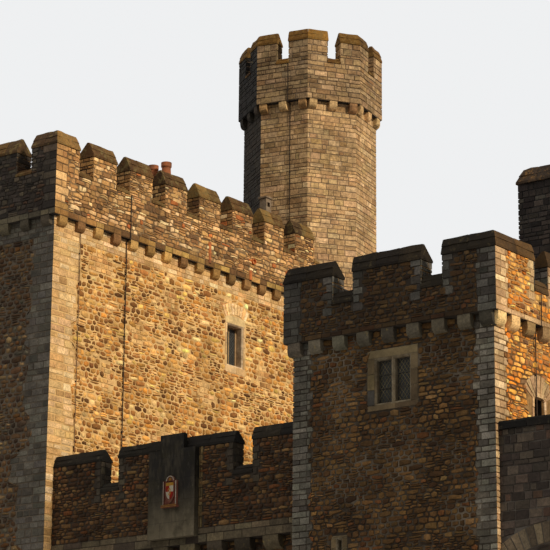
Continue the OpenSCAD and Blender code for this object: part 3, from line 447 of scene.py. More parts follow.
def stone_finish(name, grain=17, dark=0.5, light=1.42, growth=(0.10, 0.10, 0.04), share=0.0, bump=0.014, colour=None,
                 streaks=0.0, mottle=0.16):
    """Weathered stone: the stone's own tint (or one colour), broken by fine grain, mottling and broad stains, with a
    growth of moss or lichen over part of it and dark level streaks where asked, rough all over."""
    f = Finish(name)
    fine = f.noise(grain, 7, 0.76)
    shade = f.math("MULTIPLY", f.ranged(fine, 0.3, 0.7, dark, light),
                   f.ranged(f.noise(1.1, 5, 0.65), 0.35, 0.65, 0.68, 1.2))
    shade = f.math("MULTIPLY", shade, f.ranged(f.noise(5.5, 5, 0.7), 0.35, 0.65, 1 - mottle, 1 + mottle))
    if streaks:
        lined = f.noise((1.5, 1.5, 12), 6, 0.7)
        shade = f.math("MULTIPLY", shade, f.ranged(lined, 0.52, 0.68, 1, 1 - streaks))
    if colour:
        darker = tuple(c * factor for c, factor in zip(colour, (0.62, 0.56, 0.5)))
        tint = f.mixed(f.ranged(f.noise(3.2, 4, 0.7), 0.4, 0.62), colour, darker)
    else:
        tint = f.add("ShaderNodeAttribute", attribute_name="stone_tint").outputs["Color"]
    tint = f.shaded(tint, shade)
    if share:
        spots = f.ranged(f.noise(4.5, 7, 0.75), 0.66 - share * 0.3, 0.74 - share * 0.3, 0, 0.85)
        tint = f.mixed(spots, tint, growth)
    return f.done(tint, f.ranged(fine, 0.3, 0.7, 0.78, 0.97), fine, bump, 0.9, Specular_IOR_Level=0.13)


def mortar_finish(name, colour, stained=(0.5, 0.42, 0.34), scale=0.9, lit_colour=None, turned=0.5, clean=0.45):
    """Lime mortar: one colour, with darker weathered patches and grit, matt all over. The colour given for the
    faces that look to the right (+X) by more than turned is painted light: a brighter, lit copy of the mortar."""
    f = Finish(name)
    grit = f.noise(45, 4, 0.7)
    worn = f.ranged(f.noise(scale, 6, 0.68), clean, clean + 0.22)
    darker = tuple(c * factor for c, factor in zip(colour, stained))
    # Painted light: faces turned to the right take the lit colour, the others keep the shaded one.
    if lit_colour:
        normal = f.add("ShaderNodeNewGeometry").outputs["True Normal"]
        facing = f.ranged(f.add("ShaderNodeSeparateXYZ", {0: normal}).outputs[0], turned - 0.05, turned + 0.05)
        colour = f.mixed(facing, colour, lit_colour)
        darker = f.mixed(1.0, colour, stained, "MULTIPLY")
    tint = f.shaded(f.mixed(worn, colour, darker), f.ranged(grit, 0.3, 0.7, 0.74, 1.18))
    return f.done(tint, f.ranged(grit, 0.3, 0.7, 0.85, 1), grit, 0.008, 0.9, Specular_IOR_Level=0.2)


def finish_nodes(material, *names):
    """Gives CAD nodes one material all over."""
    for name in names:
        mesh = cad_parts[name].data
        mesh.materials.clear()
        mesh.materials.append(material)


def ring_stones(s, z, inner, outer, count, start=0.0, sweep=180.0):
    """Corners of an arch's wedge stones: count equal steps of angle between two radii, from the right to the left."""
    turn = np.radians(start + sweep * np.linspace(0, 1, count + 1))
    low, high = turn[:-1], turn[1:]
    return np.stack([np.stack([s + r * np.cos(t), z + r * np.sin(t)], -1)
                     for r, t in ((inner, low), (outer, low), (outer, high), (inner, high))], 1)


DOOR_HALF, DOOR_SPRING, DOOR_RING = 0.55, 1.7, 0.26


def door_stones(wall, rng, s, z, palette):
    """A doorway's dressed jambs, by turns long and short, and its round head of wedge stones."""
    beds = beds_of(rng, z, z + DOOR_SPRING, 0.28, 0.15)
    wide = np.where(np.arange(len(beds) - 1) % 2 == 0, 0.34, 0.22)
    jambs = [between(s - DOOR_HALF - wide, s - DOOR_HALF, beds), between(s + DOOR_HALF, s + DOOR_HALF + wide, beds)]
    head = ring_stones(s, z + DOOR_SPRING, DOOR_HALF, DOOR_HALF + DOOR_RING, 9)
    return blocks(wall, np.concatenate([squared(np.concatenate(jambs)), head]), rng, palette, joint=0.01, proud=0.02)


def door_holes(s, z):
    """The space of a doorway and its dressed stones, as holes."""
    return [(s - DOOR_HALF - 0.3, s + DOOR_HALF + 0.3, z - 1, z + DOOR_SPRING),
            (s, z + DOOR_SPRING, DOOR_HALF + DOOR_RING + 0.01)]


def ashlar(wall, rng, beds, length, palette, uneven=0.45, door=None, **how):
    """Groups of stones in straight courses along a whole wall, round a doorway at door, (s, z), where one is given."""
    stones, groups = coursed(rng, 0, wall["length"], beds, length, uneven), []
    corners = squared(stones)
    if door:
        around = door_holes(*door)
        corners = clear(squared(cut(stones, around[:1])), around[1:])
        groups = [door_stones(wall, rng, *door, palette)]
    return groups + [blocks(wall, corners, rng, palette, **how)]


TURRET_X, TURRET_Y, TURRET_TURN = -1.405, 14.85, 12.1


def outside_turret(part, reach=2.12):
    """The group of stones without those whose middle lies inside the octagonal stair turret."""
    flat = part["verts"].mean(1)[:, :2] - np.array([TURRET_X, TURRET_Y])
    turn = np.radians(TURRET_TURN + 45 * np.arange(8))
    return chosen(part, (flat @ np.stack([np.cos(turn), np.sin(turn)])).max(1) >= reach)


SIDES = ("front", "right", "rear", "left")
RIGHT = 1
# Lit and shaded copies of the same stone, as painted light and shade: lit ones on the right (+X) wall.
LIT_RUBBLE = [(196, 138, 70, 4), (178, 120, 60, 4), (214, 160, 90, 3), (156, 102, 54, 3.4), (228, 182, 116, 1.6),
                 (132, 88, 46, 2.6), (112, 75, 42, 1.4), (200, 130, 58, 0.8), (214, 168, 86, 1)]
SHADED_RUBBLE = [(88, 66, 44, 3), (76, 56, 38, 3), (104, 80, 52, 2), (116, 94, 64, 1), (64, 50, 38, 2),
                 (98, 66, 38, 1.2), (84, 76, 62, 1)]
LIT_QUOIN = [(218, 176, 122, 3), (210, 166, 110, 3), (204, 158, 100, 2), (226, 188, 136, 1.4), (192, 146, 92, 1)]
SHADED_QUOIN = [(92, 86, 76, 3), (84, 78, 68, 3), (100, 94, 82, 2), (74, 69, 60, 1.4)]
PALE_PATCH = [(220, 172, 110, 3), (206, 154, 92, 2), (190, 136, 80, 1.4)]
KEEP_W, KEEP_D, KEEP_H, KEEP_BAND = 9.0, 16.2, 16.64, 0.6
KEEP_WINDOW = (8.355, 9.405, 13.38, 15.30)
KEEP_DOOR = (8.1, 0.25)
KEEP_CELL = (0.215, 0.15)
# Patches of pale dressed stone in the right wall's rubble: along the wall, height, width and how tall.
PATCHES = [
    (1.6, 15.3, 1.3, 0.6), (3.6, 13.4, 0.8, 0.75), (5.2, 14.9, 0.7, 0.5), (6.9, 12.0, 0.9, 0.8),
    (2.2, 11.6, 0.7, 0.9), (4.7, 10.5, 1.2, 0.5), (7.6, 15.4, 1.5, 0.4), (9.9, 13.2, 0.9, 0.7),
    (11.4, 14.6, 1.0, 0.5), (8.3, 10.3, 0.8, 1.0), (1.4, 8.8, 0.9, 0.6), (3.2, 8.0, 1.3, 0.6),
    (11.0, 10.8, 0.8, 0.6), (6.0, 8.6, 0.8, 0.9), (9.6, 8.2, 1.3, 0.5), (12.3, 12.4, 0.7, 0.8),
    (5.3, 6.2, 1.2, 0.8), (2.4, 5.0, 0.9, 0.9), (8.8, 5.4, 1.1, 0.6), (12.0, 6.8, 1.1, 0.8)]
keep_stone = stone_finish("keep_rubble")
# The mortar's lit colour on the right wall is painted light.
keep_mortar = mortar_finish("keep_mortar", (0.12, 0.092, 0.062), (0.5, 0.44, 0.36), lit_colour=(0.74, 0.45, 0.17))
finish_nodes(keep_mortar, *(f"keep_{side}_wall" for side in SIDES))
keep_walls = four_walls(-KEEP_W, 0, 0, KEEP_D)
rng = np.random.default_rng(11)
corner_beds = [beds_of(rng, 0, KEEP_H - KEEP_BAND, 0.21, 0.22) for k in range(4)]
band_beds = beds_of(rng, KEEP_H - KEEP_BAND, KEEP_H, 0.15, 0.15)
for k, wall in enumerate(keep_walls):
    rng = np.random.default_rng(100 + k)
    lit = k == RIGHT
    # Painted shade: the shaded palettes darkest on the front, lighter on the rear and left.
    tone = 1 if k == 0 else 1.9
    corners = [quoins(rng, corner_beds[k], 1.14 if lit else 0.85, 0.12, 0.46, 0.18),
               quoins(rng, corner_beds[(k + 1) % 4], (1.08, 0.5, 0.85, 0.85)[k], 0.10, 0.36, 0 if lit else 0.36)]
    holes, parts = [], []
    if lit:
        fan = ring_stones(8.88, 14.30, 1.05, 1.45, 9, 60, 60)
        parts.append(blocks(wall, fan, rng, toned(LIT_QUOIN, 1.2), proud=0.022))
        patches = []
        for s, z, wide, tall in PATCHES:
            rows = coursed(rng, s, s + wide, beds_of(rng, z, z + tall, 0.16, 0.2), 0.27, 0.4)
            even = np.round((rows[:, 2] - z) / 0.16) % 2 == 0
            patches.append(rows[even | ((rows[:, 0] > s + 0.1) & (rows[:, 1] < s + wide - 0.1))])
        patches = np.concatenate(patches)
        holes = [KEEP_WINDOW, (8.30, 9.46, 15.30, 15.70)] + [tuple(row) for row in patches]
        parts.append(blocks(wall, squared(patches), rng, PALE_PATCH, joint=0.016, proud=0.02, worn=0.014))
    if k == 3:
        holes = door_holes(*KEEP_DOOR)
        parts.append(door_stones(wall, rng, *KEEP_DOOR, SHADED_QUOIN))
    stones = toned(LIT_RUBBLE, 1.09) if lit else toned(SHADED_RUBBLE, tone)
    palette = LIT_QUOIN if lit else toned(SHADED_QUOIN, tone)
    parts += walling(wall, rng, corners, (0, wall["length"], 0, KEEP_H - KEEP_BAND), KEEP_CELL,
                     (stones, palette, palette), holes, dict(joint=0.024, proud=0.036, rounding=0.42, spread=0.2),
                     dict(joint=0.02, worn=0.028 if lit else 0.014, spread=0.09))
    parts += ashlar(wall, rng, band_beds, 0.34, palette, spread=0.14)
    piece("keep_stones_" + SIDES[k], [outside_turret(p) for p in parts], keep_stone)


# Great tower, parapet. Thin squared stones in low courses, with longer blocks at the corners and a
# row of dressed stones over the corbels; the crenel cheeks and the inner faces are laid the same way.
def merlons(length, n, leg, merlon):
    """Spans of the merlons of a run: a leg at each end and n merlons between them, with equal crenels."""
    gap = (length - 2 * leg - n * merlon) / (n + 1)
    starts = leg + gap + np.arange(n) * (merlon + gap)
    return [(0.0, leg)] + [(a, a + merlon) for a in starts] + [(length - leg, length)]


def gaps_of(spans):
    """The crenels between the merlons' spans."""
    return [(a[1], b[0]) for a, b in zip(spans[:-1], spans[1:])]


def parapet(run, n, leg, merlon, thick, z, breast, height, rng, palette, bed=0.13, length=0.3, slant=1.0,
            table=0.0, over=None, faces=True, corner=0.0):
    """Groups of stones of one parapet run: its face up to the sills and on each merlon, the cheeks of the crenels and
    the inner face. The face is coursed; where corner is given, it is rubble between larger stones up to corner from
    each end, over a row of the height table, jointed over the corbels."""
    beds = beds_of(rng, z + table, z + breast, bed, 0.5)
    upper = beds_of(rng, z + breast, z + breast + height, bed, 0.5)
    spans = merlons(run["length"], n, leg, merlon)
    groups = []
    if faces:
        rows = [coursed(rng, 0, run["length"], beds, length, 0.75)]
        rows += [coursed(rng, a, b, upper, length, 0.5) for a, b in spans]
        # Where rubble takes the rows' place they are drawn too, so that the random draws stay in order.
        if not corner:
            groups.append(blocks(run, squared(np.concatenate(rows)), rng, palette,
                                 joint=0.014, proud=0.026, worn=0.014, spread=0.14))
    if corner:
        edges = []
        for far in (False, True):
            stones, edge = quoins(rng, beds_of(rng, z + table, z + breast + height, 0.22, 0.25), corner, 0.08, 0.4)
            edges.append((lambda at, edge=edge: run["length"] - edge(at)) if far else edge)
            groups.append(blocks(run, squared(mirrored(run, stones) if far else stones), rng, palette[:5],
                                 proud=0.02, worn=0.014, spread=0.1))
        middles, width, pale = over
        ends = np.sort(np.concatenate([[0, run["length"]], middles - width / 2, middles + width / 2]))
        row = np.column_stack(np.broadcast_arrays(ends[:-1], ends[1:], z, z + table))
        groups.append(blocks(run, squared(row), rng, pale, joint=0.012, proud=0.02, worn=0.014))
        boxes = [(0, run["length"], z + table, z + breast)]
        boxes += [(a, b, z + breast, z + breast + height) for a, b in spans]
        groups += [rubble(run, box, (0.2, 0.135), rng, palette, edges, joint=0.014, proud=0.034, rounding=0.16,
                          spread=0.17, flat=True, merged=0.4, split=0.3) for box in boxes]
    inner = dict(joint=0.012, proud=0.018, worn=0.012)
    for low, high in gaps_of(spans):
        for at, facing, back in ((low, 1, 0), (high, -1, thick)):
            start = run["start"] + at * run["along"] - back * run["out"]
            cheek = wall_of(*start, run["angle"] + 90 * facing, thick)
            groups += ashlar(cheek, rng, upper, length, palette, 0.4, **inner)
    far = run["start"] + (run["length"] - slant * thick) * run["along"] - thick * run["out"]
    back = wall_of(*far, run["angle"] + 180, run["length"] - 2 * slant * thick, (-slant, -slant))
    rows = [coursed(rng, 0, back["length"], beds, length * 1.2)]
    for a, b in spans:
        low, high = back["length"] - (b - slant * thick), back["length"] - (a - slant * thick)
        rows.append(coursed(rng, max(low, 0), min(high, back["length"]), upper, length * 1.2))
    return groups + [blocks(back, squared(np.concatenate(rows)), rng, palette, **inner)]


# Lit and shaded copies of the parapet and corbel stone, as painted light and shade: lit ones on the right run.
LIT_PARAPET = [(188, 142, 90, 4), (172, 127, 77, 4), (160, 116, 70, 3), (206, 162, 108, 2.4), (138, 100, 62, 2.2),
               (224, 184, 130, 1.2), (176, 102, 56, 0.5), (112, 82, 54, 1.3)]
SHADED_PARAPET = [(70, 62, 53, 3), (60, 52, 45, 3), (80, 70, 57, 2), (51, 45, 39, 2), (88, 77, 62, 0.8), (72, 55, 42, 1)]
LIT_CORBEL = [(176, 134, 76, 3), (158, 116, 64, 2), (138, 100, 60, 2), (114, 82, 52, 1.2), (196, 156, 84, 1)]
SHADED_CORBEL = [(86, 78, 63, 3), (74, 66, 54, 2), (98, 88, 69, 2), (60, 53, 45, 1)]
KEEP_PROJ, KEEP_BREAST, KEEP_MERLON, KEEP_THICK = 0.16, 1.43, 0.80, 0.62
KEEP_CRENELS = [(4, 1.01, 1.0), (8, 1.01, 1.073)] * 2
# The parapet mortar's lit colour on the right run is painted light.
finish_nodes(mortar_finish("parapet_mortar", (0.05, 0.04, 0.03), (0.5, 0.45, 0.4), lit_colour=(0.23, 0.145, 0.068),
                           clean=0.36), "keep_parapet")
keep_runs = four_walls(-KEEP_W - KEEP_PROJ, -KEEP_PROJ, KEEP_PROJ, KEEP_D + KEEP_PROJ)


def keep_corbel_middles(wall):
    """Where the great tower's corbels stand along a wall: equal spaces of about 0.81 m between the two end ones."""
    end, space = 0.26, 0.81
    return np.linspace(end, wall["length"] - end, round((wall["length"] - 2 * end) / space) + 1)


for k, run in enumerate(keep_runs):
    over = (keep_corbel_middles(keep_walls[k]) + KEEP_PROJ, 0.36, LIT_CORBEL if k == RIGHT else SHADED_CORBEL)
    # Painted shade: the shaded parapet darkest on the front, lighter on the rear and left.
    palette = toned(LIT_PARAPET, 1.18) if k == RIGHT else toned(SHADED_PARAPET, 1.06 if k == 0 else 1.9)
    groups = parapet(run, *KEEP_CRENELS[k], KEEP_THICK, KEEP_H, KEEP_BREAST, KEEP_MERLON,
                     np.random.default_rng(120 + k), palette, table=0.19, over=over, corner=0.5)
    piece("keep_parapet_stones_" + SIDES[k], [outside_turret(g) for g in groups], keep_stone)


# Great tower, corbels. Single blocks with a quadrant nose, tailed into the wall, weathered until
# no two are alike; some are stained dark, some are sulphur yellow with lichen.
def carried(wall, profiles, places, rng, palette, spread=0.12, smooth=False):
    """Closed bars: profiles (n, m, k, 2) of (out, height), anticlockwise, set at places (n, m, k) along the wall."""
    n, m, k = profiles.shape[:3]
    verts = placed(wall, places, profiles[..., 1], profiles[..., 0]).reshape(n, m * k, 3)
    faces = [tuple(range(k)), tuple(range(m * k - 1, m * k - k - 1, -1))]
    faces += [(j * k + a, (j + 1) * k + a, (j + 1) * k + (a + 1) % k, j * k + (a + 1) % k)
              for j in range(m - 1) for a in range(k)]
    return {"verts": verts, "faces": faces, "tint": tints(rng, n, palette, spread), "smooth": smooth}


def corbels(wall, middles, width, proj, height, z, rng, palette, worn=0.014):
    """Corbels hung under z: upright face, then a quarter circle of the projection's radius back to the wall, with worn
    arrises and each nose a little different."""
    turn, nose = np.radians(np.arange(0, 91, 15)), min(proj, height)
    curve = [(proj * math.cos(t), nose - height - nose * math.sin(t)) for t in turn]
    profile = np.array([(-0.02, -height), (-0.02, 0), (proj, 0)] + curve)[::-1]
    n, k = len(middles), len(profile)
    outer = np.array([1, 0, 0, 1])[:, None, None]
    centre = np.array([proj * 0.4, -height * 0.45])
    profiles = profile + (centre - profile) * outer * worn / proj * 1.1 + rng.normal(size=(n, 4, k, 2)) * 0.004
    profiles = profiles * (1 + rng.uniform(-0.05, 0.02, (n, 1, 1, 1))) + np.array([0, z])
    places = middles[:, None] + np.array([-width / 2, worn - width / 2, width / 2 - worn, width / 2])
    return carried(wall, profiles, places[..., None], rng, palette, 0.2)


corbel_stone = stone_finish("corbel_stone", share=0.2, growth=(0.28, 0.19, 0.055))
groups = []
for k, wall in enumerate(keep_walls):
    # Painted light and shade: the lit corbels on the right wall, the shaded ones on the others.
    palette = LIT_CORBEL if k == RIGHT else SHADED_CORBEL
    groups.append(outside_turret(corbels(wall, keep_corbel_middles(wall), 0.35, KEEP_PROJ, 0.32, KEEP_H,
                                         np.random.default_rng(130 + k), palette)))
piece("keep_corbel_stones", groups, corbel_stone, ["keep_corbels"])


# Great tower, copings. Weathered saddleback slabs in two courses, brown and mossy, mitred at the
# corners and gabled at the crenels, with lower slabs across each crenel.
def copings(wall, spans, thick, height, ridge, z, rng, palette, over=0.04, length=0.62):
    """Slabs of a coping over the spans (from, to, slant at from, slant at to): the saddleback profile of two courses
    carried along each slab, its points a little off, its ends gabled or mitred by the slant."""
    edge, flat, step, joint = 0.07, 0.07, 0.016, 0.008
    k = (height - edge) * 0.45
    x = (ridge + over) * 0.45 - over
    profile = np.array([(-over, 0), (thick + over, 0), (thick + over, edge), (ridge + flat, height), (ridge, height),
                        (x - step, edge + k), (x, edge + k), (-over, edge)])[::-1] * (-1, 1)
    slabs = []
    for a, b, slant_a, slant_b in spans:
        n = max(1, round((b - a) / length))
        cuts = np.linspace(a, b, n + 1)
        cuts[1:-1] += rng.uniform(-0.08, 0.08, n - 1)
        slabs.append(np.column_stack([cuts[:-1], cuts[1:], [slant_a] + [0] * (n - 1), [0] * (n - 1) + [slant_b]]))
    starts, ends, first, last = np.concatenate(slabs).T[..., None]
    low = starts + joint / 2 - profile[:, 0] * first
    high = ends - joint / 2 + profile[:, 0] * last
    share = np.array([0, 0.06, 0.5, 0.94, 1])[:, None]
    wear = rng.normal(size=(len(starts), 5, 8, 2)) * 0.006
    wear[:, [0, -1]] = wear[:, [1, -2]] * 0.5 - np.array([0, 0.008])
    wear[..., 1] *= profile[:, 1] > 0.01
    return carried(wall, profile + wear + np.array([0, z]), low[:, None] + (high - low)[:, None] * share, rng,
                   palette, 0.14)


def run_copings(run, n, leg, merlon, slant, thick, heights, ridge, levels, rng, palette, length=0.62):
    """The copings of a run's merlons, past the crenels' cheeks by an overhang and mitred by the slant at the run's
    ends, and of its crenels."""
    spans, over = merlons(run["length"], n, leg, merlon), 0.04
    tops = [[a - over, b + over, 0, 0] for a, b in spans]
    tops[0][0], tops[0][2] = 0, slant
    tops[-1][1], tops[-1][3] = run["length"], slant
    sills = [(a, b, 0, 0) for a, b in gaps_of(spans)]
    return [copings(run, tops, thick, heights[0], ridge, levels[0], rng, palette, length=length),
            copings(run, sills, thick, heights[1], ridge, levels[1], rng, palette)]


BROWN_COPING = [(106, 78, 44, 3), (90, 65, 38, 3), (126, 95, 52, 2), (76, 57, 37, 1)]
coping_stone = stone_finish("coping_stone", dark=0.45, light=1.4, share=0.5, growth=(0.155, 0.105, 0.036), bump=0.02)
levels = KEEP_H + KEEP_BREAST + KEEP_MERLON, KEEP_H + KEEP_BREAST
groups = []
for k, run in enumerate(keep_runs):
    groups += run_copings(run, *KEEP_CRENELS[k], 1.0, KEEP_THICK, (0.49, 0.25), 0.18, levels,
                          np.random.default_rng(140 + k), BROWN_COPING)
piece("keep_coping_slabs", [outside_turret(g, 1.9) for g in groups], coping_stone, ["keep_copings"])


# Great tower window. Dressed buff stones frame it: stacked jambs, a sill of two stones and a head of
# one. Behind them stand a leaded light and an oak frame with one upright.
def dressing(wall, rng, outer, inner, rows, palette, proud=0.012):
    """The flush stones round an opening: jambs in rows, a sill of two stones and a head of one."""
    a, b, low, high = outer
    c, d, bottom, top_z = inner
    beds = np.linspace(bottom, top_z, rows + 1)
    middle = (a + b) / 2 + 0.08
    rest = [[a, middle, low, bottom], [middle, b, low, bottom], [a, b, top_z, high]]
    stones = np.concatenate([between(a, c, beds), between(d, b, beds), rest])
    return blocks(wall, squared(stones), rng, palette, joint=0.008, proud=proud, worn=0.008)


def strips(wall, lines, width, proud, base, rng, palette):
    """Flat bars along lines (n, 2, 2) of a wall: each widened to both sides by half the width and raised from base."""
    lines = np.array(lines)
    along = lines[:, 1] - lines[:, 0]
    along = along / np.linalg.norm(along, axis=1, keepdims=True)
    across = np.stack([-along[:, 1], along[:, 0]], 1) * width / 2
    corners = np.stack([lines[:, 0] - across, lines[:, 1] - across, lines[:, 1] + across, lines[:, 0] + across], 1)
    endless = {**wall, "turn": (0, 0), "length": 1e6}
    return blocks(endless, corners, rng, palette, joint=0, proud=proud, worn=width * 0.12, base=base)


def lattice(a, b, low, high, pitch, rise):
    """Lines of a diamond lattice clipped to a box: two families of slope rise / pitch, a pitch apart."""
    climb, lines = rise / pitch * (b - a), []
    for way in (1, -1):
        for start in np.arange(low - climb if way > 0 else low, high + climb, rise):
            share = np.sort(np.clip((np.array([low, high]) - start) / (way * climb), 0, 1))
            if share[1] - share[0] > 0.02:
                lines.append(np.column_stack([a + (b - a) * share, start + way * climb * share]))
    return lines


WINDOW_STONE = [(228, 186, 130, 3), (214, 170, 114, 2), (196, 152, 98, 1)]
dressed_stone = stone_finish("dressed_stone", grain=46, dark=0.72, light=1.2)
finish_nodes(stone_finish("dressed_bed", colour=(0.70, 0.50, 0.29), dark=0.75, light=1.15), "keep_window_stones")
rng = np.random.default_rng(150)
wall = keep_walls[RIGHT]
stones = dressing(wall, rng, KEEP_WINDOW, (8.455, 9.305, 13.62, 15.03), 4, WINDOW_STONE)
piece("keep_window_dressing", [stones], dressed_stone)

# Old leaded glass: near black and glossy, each quarry tilted a little, so that reflections break up.
f = Finish("leaded_glass")
quarries = f.add("ShaderNodeTexVoronoi", {"Vector": f.where, "Scale": 9}).outputs["Color"]
dirt = f.noise(14, 4)
leaded_glass = f.done(f.mixed(dirt, (0.010, 0.010, 0.010), (0.022, 0.021, 0.018)), f.ranged(dirt, 0, 1, 0.2, 0.5),
                      quarries, 0.004, 0.4, Specular_IOR_Level=0.14)
finish_nodes(leaded_glass, "keep_window_glass")
OAK = [(150, 122, 88, 2), (132, 104, 74, 1)]
LEAD = [(98, 96, 88, 2), (84, 82, 76, 1)]
KEEP_LIGHT_BACK = -0.30
bars = [[[8.515, 13.66], [8.515, 14.99]], [[9.245, 13.66], [9.245, 14.99]], [[8.495, 13.68], [9.265, 13.68]],
        [[8.495, 14.97], [9.265, 14.97]], [[8.88, 13.66], [8.88, 14.99]]]
groups = [strips(wall, bars, 0.05, 0.05, KEEP_LIGHT_BACK, rng, OAK)]
for low, high in ((8.52, 8.86), (8.90, 9.24)):
    leads = lattice(low, high, 13.68, 14.97, 0.085, 0.11)
    groups.append(strips(wall, leads, 0.011, 0.007, KEEP_LIGHT_BACK, rng, LEAD))
window_lead = stone_finish("window_lead", grain=60, dark=0.8, light=1.15, bump=0.001)
piece("keep_window_lights", groups, window_lead)


# Great tower roof. A lead flat with wood-cored rolls every 0.7 m, behind the parapet; the upper and
# lower floors are wide oak boards. The other roofs and floors are the same.
def bar(wall, ring, s0, s1, rng, palette, spread=0.1, smooth=False):
    """One bar: a ring of (out, height) points, anticlockwise, carried from s0 to s1 along the wall."""
    profiles = np.broadcast_to(ring, (1, 2, len(ring), 2))
    return carried(wall, profiles, np.array([s0, s1])[:, None], rng, palette, spread, smooth)


# Sheet lead: grey, with paler bloom and dark water stains, a soft sheen and faint ripples.
f = Finish("lead_roof")
bloom = f.noise(1.6, 6, 0.7)
tint = f.mixed(f.ranged(bloom, 0.35, 0.68), (0.13, 0.135, 0.14), (0.30, 0.31, 0.32))
lead_roof = f.done(tint, f.ranged(bloom, 0.3, 0.7, 0.42, 0.68), f.noise(9, 3), 0.01, 0.6, Metallic=0.35)
finish_nodes(lead_roof, "keep_roof", "gate_tower_roof", "turret_roof", "rear_turret_roof")

# Oak boards along Y, 0.26 m wide: dark gaps, a tone of their own, and long grain.
f = Finish("oak_floor")
grain = f.noise((26, 1.4, 8), 6)
boards = f.add("ShaderNodeTexBrick", {
    "Vector": f.mapped(Rotation=(0, 0, math.pi / 2)), "Scale": 1, "Brick Width": 3.2, "Row Height": 0.26,
    "Mortar Size": 0.006, "Color1": (0.17, 0.095, 0.045, 1), "Color2": (0.27, 0.165, 0.08, 1),
    "Mortar": (0.02, 0.012, 0.008, 1)}).outputs["Color"]
tint = f.shaded(boards, f.ranged(grain, 0.3, 0.7, 0.6, 1.3))
finish_nodes(f.done(tint, f.ranged(grain, 0, 1, 0.5, 0.8), grain, 0.004), "keep_floors", "gate_tower_floors")

ROLL, ROOF_Z = 0.028, 16.94
ROLL_LEAD = [(128, 130, 132, 1)]
turn = np.linspace(0, math.pi, 7)
ring = np.column_stack([-ROLL * np.cos(turn), ROLL * 1.2 * np.sin(turn)])
ring = np.concatenate([ring, [[ROLL, -0.01], [-ROLL, -0.01]]])[::-1] + (0, ROOF_Z)
groups = []
for y in np.arange(0.9, 15.6, 0.7):
    length = 8.0 if y < 12.3 else 4.6
    groups.append(bar(wall_of(-8.5, y, 0, length), ring, 0, length, np.random.default_rng(1), ROLL_LEAD, 0.05, True))
piece("keep_lead_rolls", groups, lead_roof)


# Chimney stack and flue on the great tower's roof. The stack is small squared brown stone with a
# projecting band and two fired clay pots; the flue is smooth pale render under a flat cap.
def clay_finish(name, colour):
    """Fired clay: its own colour, sooted darker in patches, with fine sand in it."""
    f = Finish(name)
    sand = f.noise(70, 3)
    tint = f.mixed(f.ranged(f.noise(3.5, 5, 0.65), 0.42, 0.7), colour, (0.10, 0.045, 0.022))
    tint = f.shaded(tint, f.ranged(sand, 0.3, 0.7, 0.82, 1.15))
    return f.done(tint, f.ranged(sand, 0, 1, 0.6, 0.85), sand, 0.002, 0.6, Specular_IOR_Level=0.2)


BROWN_STACK = [(120, 92, 64, 3), (104, 80, 56, 2), (138, 108, 74, 2), (90, 66, 48, 1)]
BAND_Z, STACK_TOP = (19.93, 20.09), 20.19
finish_nodes(mortar_finish("stack_mortar", (0.20, 0.15, 0.10)), "chimney_stack")
finish_nodes(clay_finish("fired_clay", (0.33, 0.10, 0.03)), "chimney_pots")
finish_nodes(clay_finish("drain_clay", (0.56, 0.16, 0.035)), "drain_spouts")
finish_nodes(stone_finish("flue_render", grain=50, dark=0.8, light=1.1, colour=(0.26, 0.185, 0.115)), "roof_flue")
rng = np.random.default_rng(160)
groups = []
for wall in four_walls(-3.225, 7.675, -2.075, 8.325):
    groups += ashlar(wall, rng, beds_of(rng, ROOF_Z, BAND_Z[0], 0.15), 0.28, BROWN_STACK)
    groups += ashlar(wall, rng, np.array([BAND_Z[1], STACK_TOP]), 0.28, BROWN_STACK)
for wall in four_walls(-3.285, 7.615, -2.015, 8.385):
    groups += ashlar(wall, rng, np.array(BAND_Z), 0.4, BROWN_STACK, proud=0.01)
piece("chimney_stack_stones", groups, keep_stone)


# Stair turret. An octagon of buff limestone ashlar in fine dark joints, each face lighter or darker by
# painted light and shade, the front-left one nearly black; the doorways have dressed jambs and round heads.
TURRET_H, TURRET_SLANT = 24.05, 0.414


def octagon_walls(apothem):
    """The eight outer faces of the turret's octagon, counted from the one that looks most nearly to the right."""
    walls, half = [], apothem * math.tan(math.radians(22.5))
    for angle in (TURRET_TURN + 45 * k for k in range(8)):
        c, s = math.cos(math.radians(angle)), math.sin(math.radians(angle))
        x, y = TURRET_X + apothem * c + half * s, TURRET_Y + apothem * s - half * c
        walls.append(wall_of(x, y, angle + 90, 2 * half, (TURRET_SLANT, TURRET_SLANT)))
    return walls


def outside_keep(part):
    """The group of stones without those that lie inside the great tower's walls or under its roof."""
    middle = part["verts"].mean(1)
    return chosen(part, (middle[:, 0] >= -0.03) | (middle[:, 1] >= KEEP_D - 0.03) | (middle[:, 2] >= ROOF_Z - 0.04))


# Painted light and shade: a factor per face for its shaft, parapet, corbels and copings, from the right.
TURRET_FACE_SHADING = (1.04, 0.95, 0.8, 0.65, 0.4, 0.105, 0.86, 1.02)
TURRET_STONE = [(192, 154, 108, 4), (184, 146, 100, 4), (176, 138, 93, 3), (200, 164, 118, 1.2), (160, 122, 80, 0.7)]
TURRET_CORBEL = [(196, 158, 106, 3), (178, 136, 86, 2), (150, 112, 74, 1)]
TURRET_DOORS = {2: 0.25, 4: ROOF_Z}
turret_stone = stone_finish("turret_ashlar", grain=13, dark=0.55, light=1.36, share=0.06, growth=(0.34, 0.24, 0.07),
                            streaks=0.5, mottle=0.3)
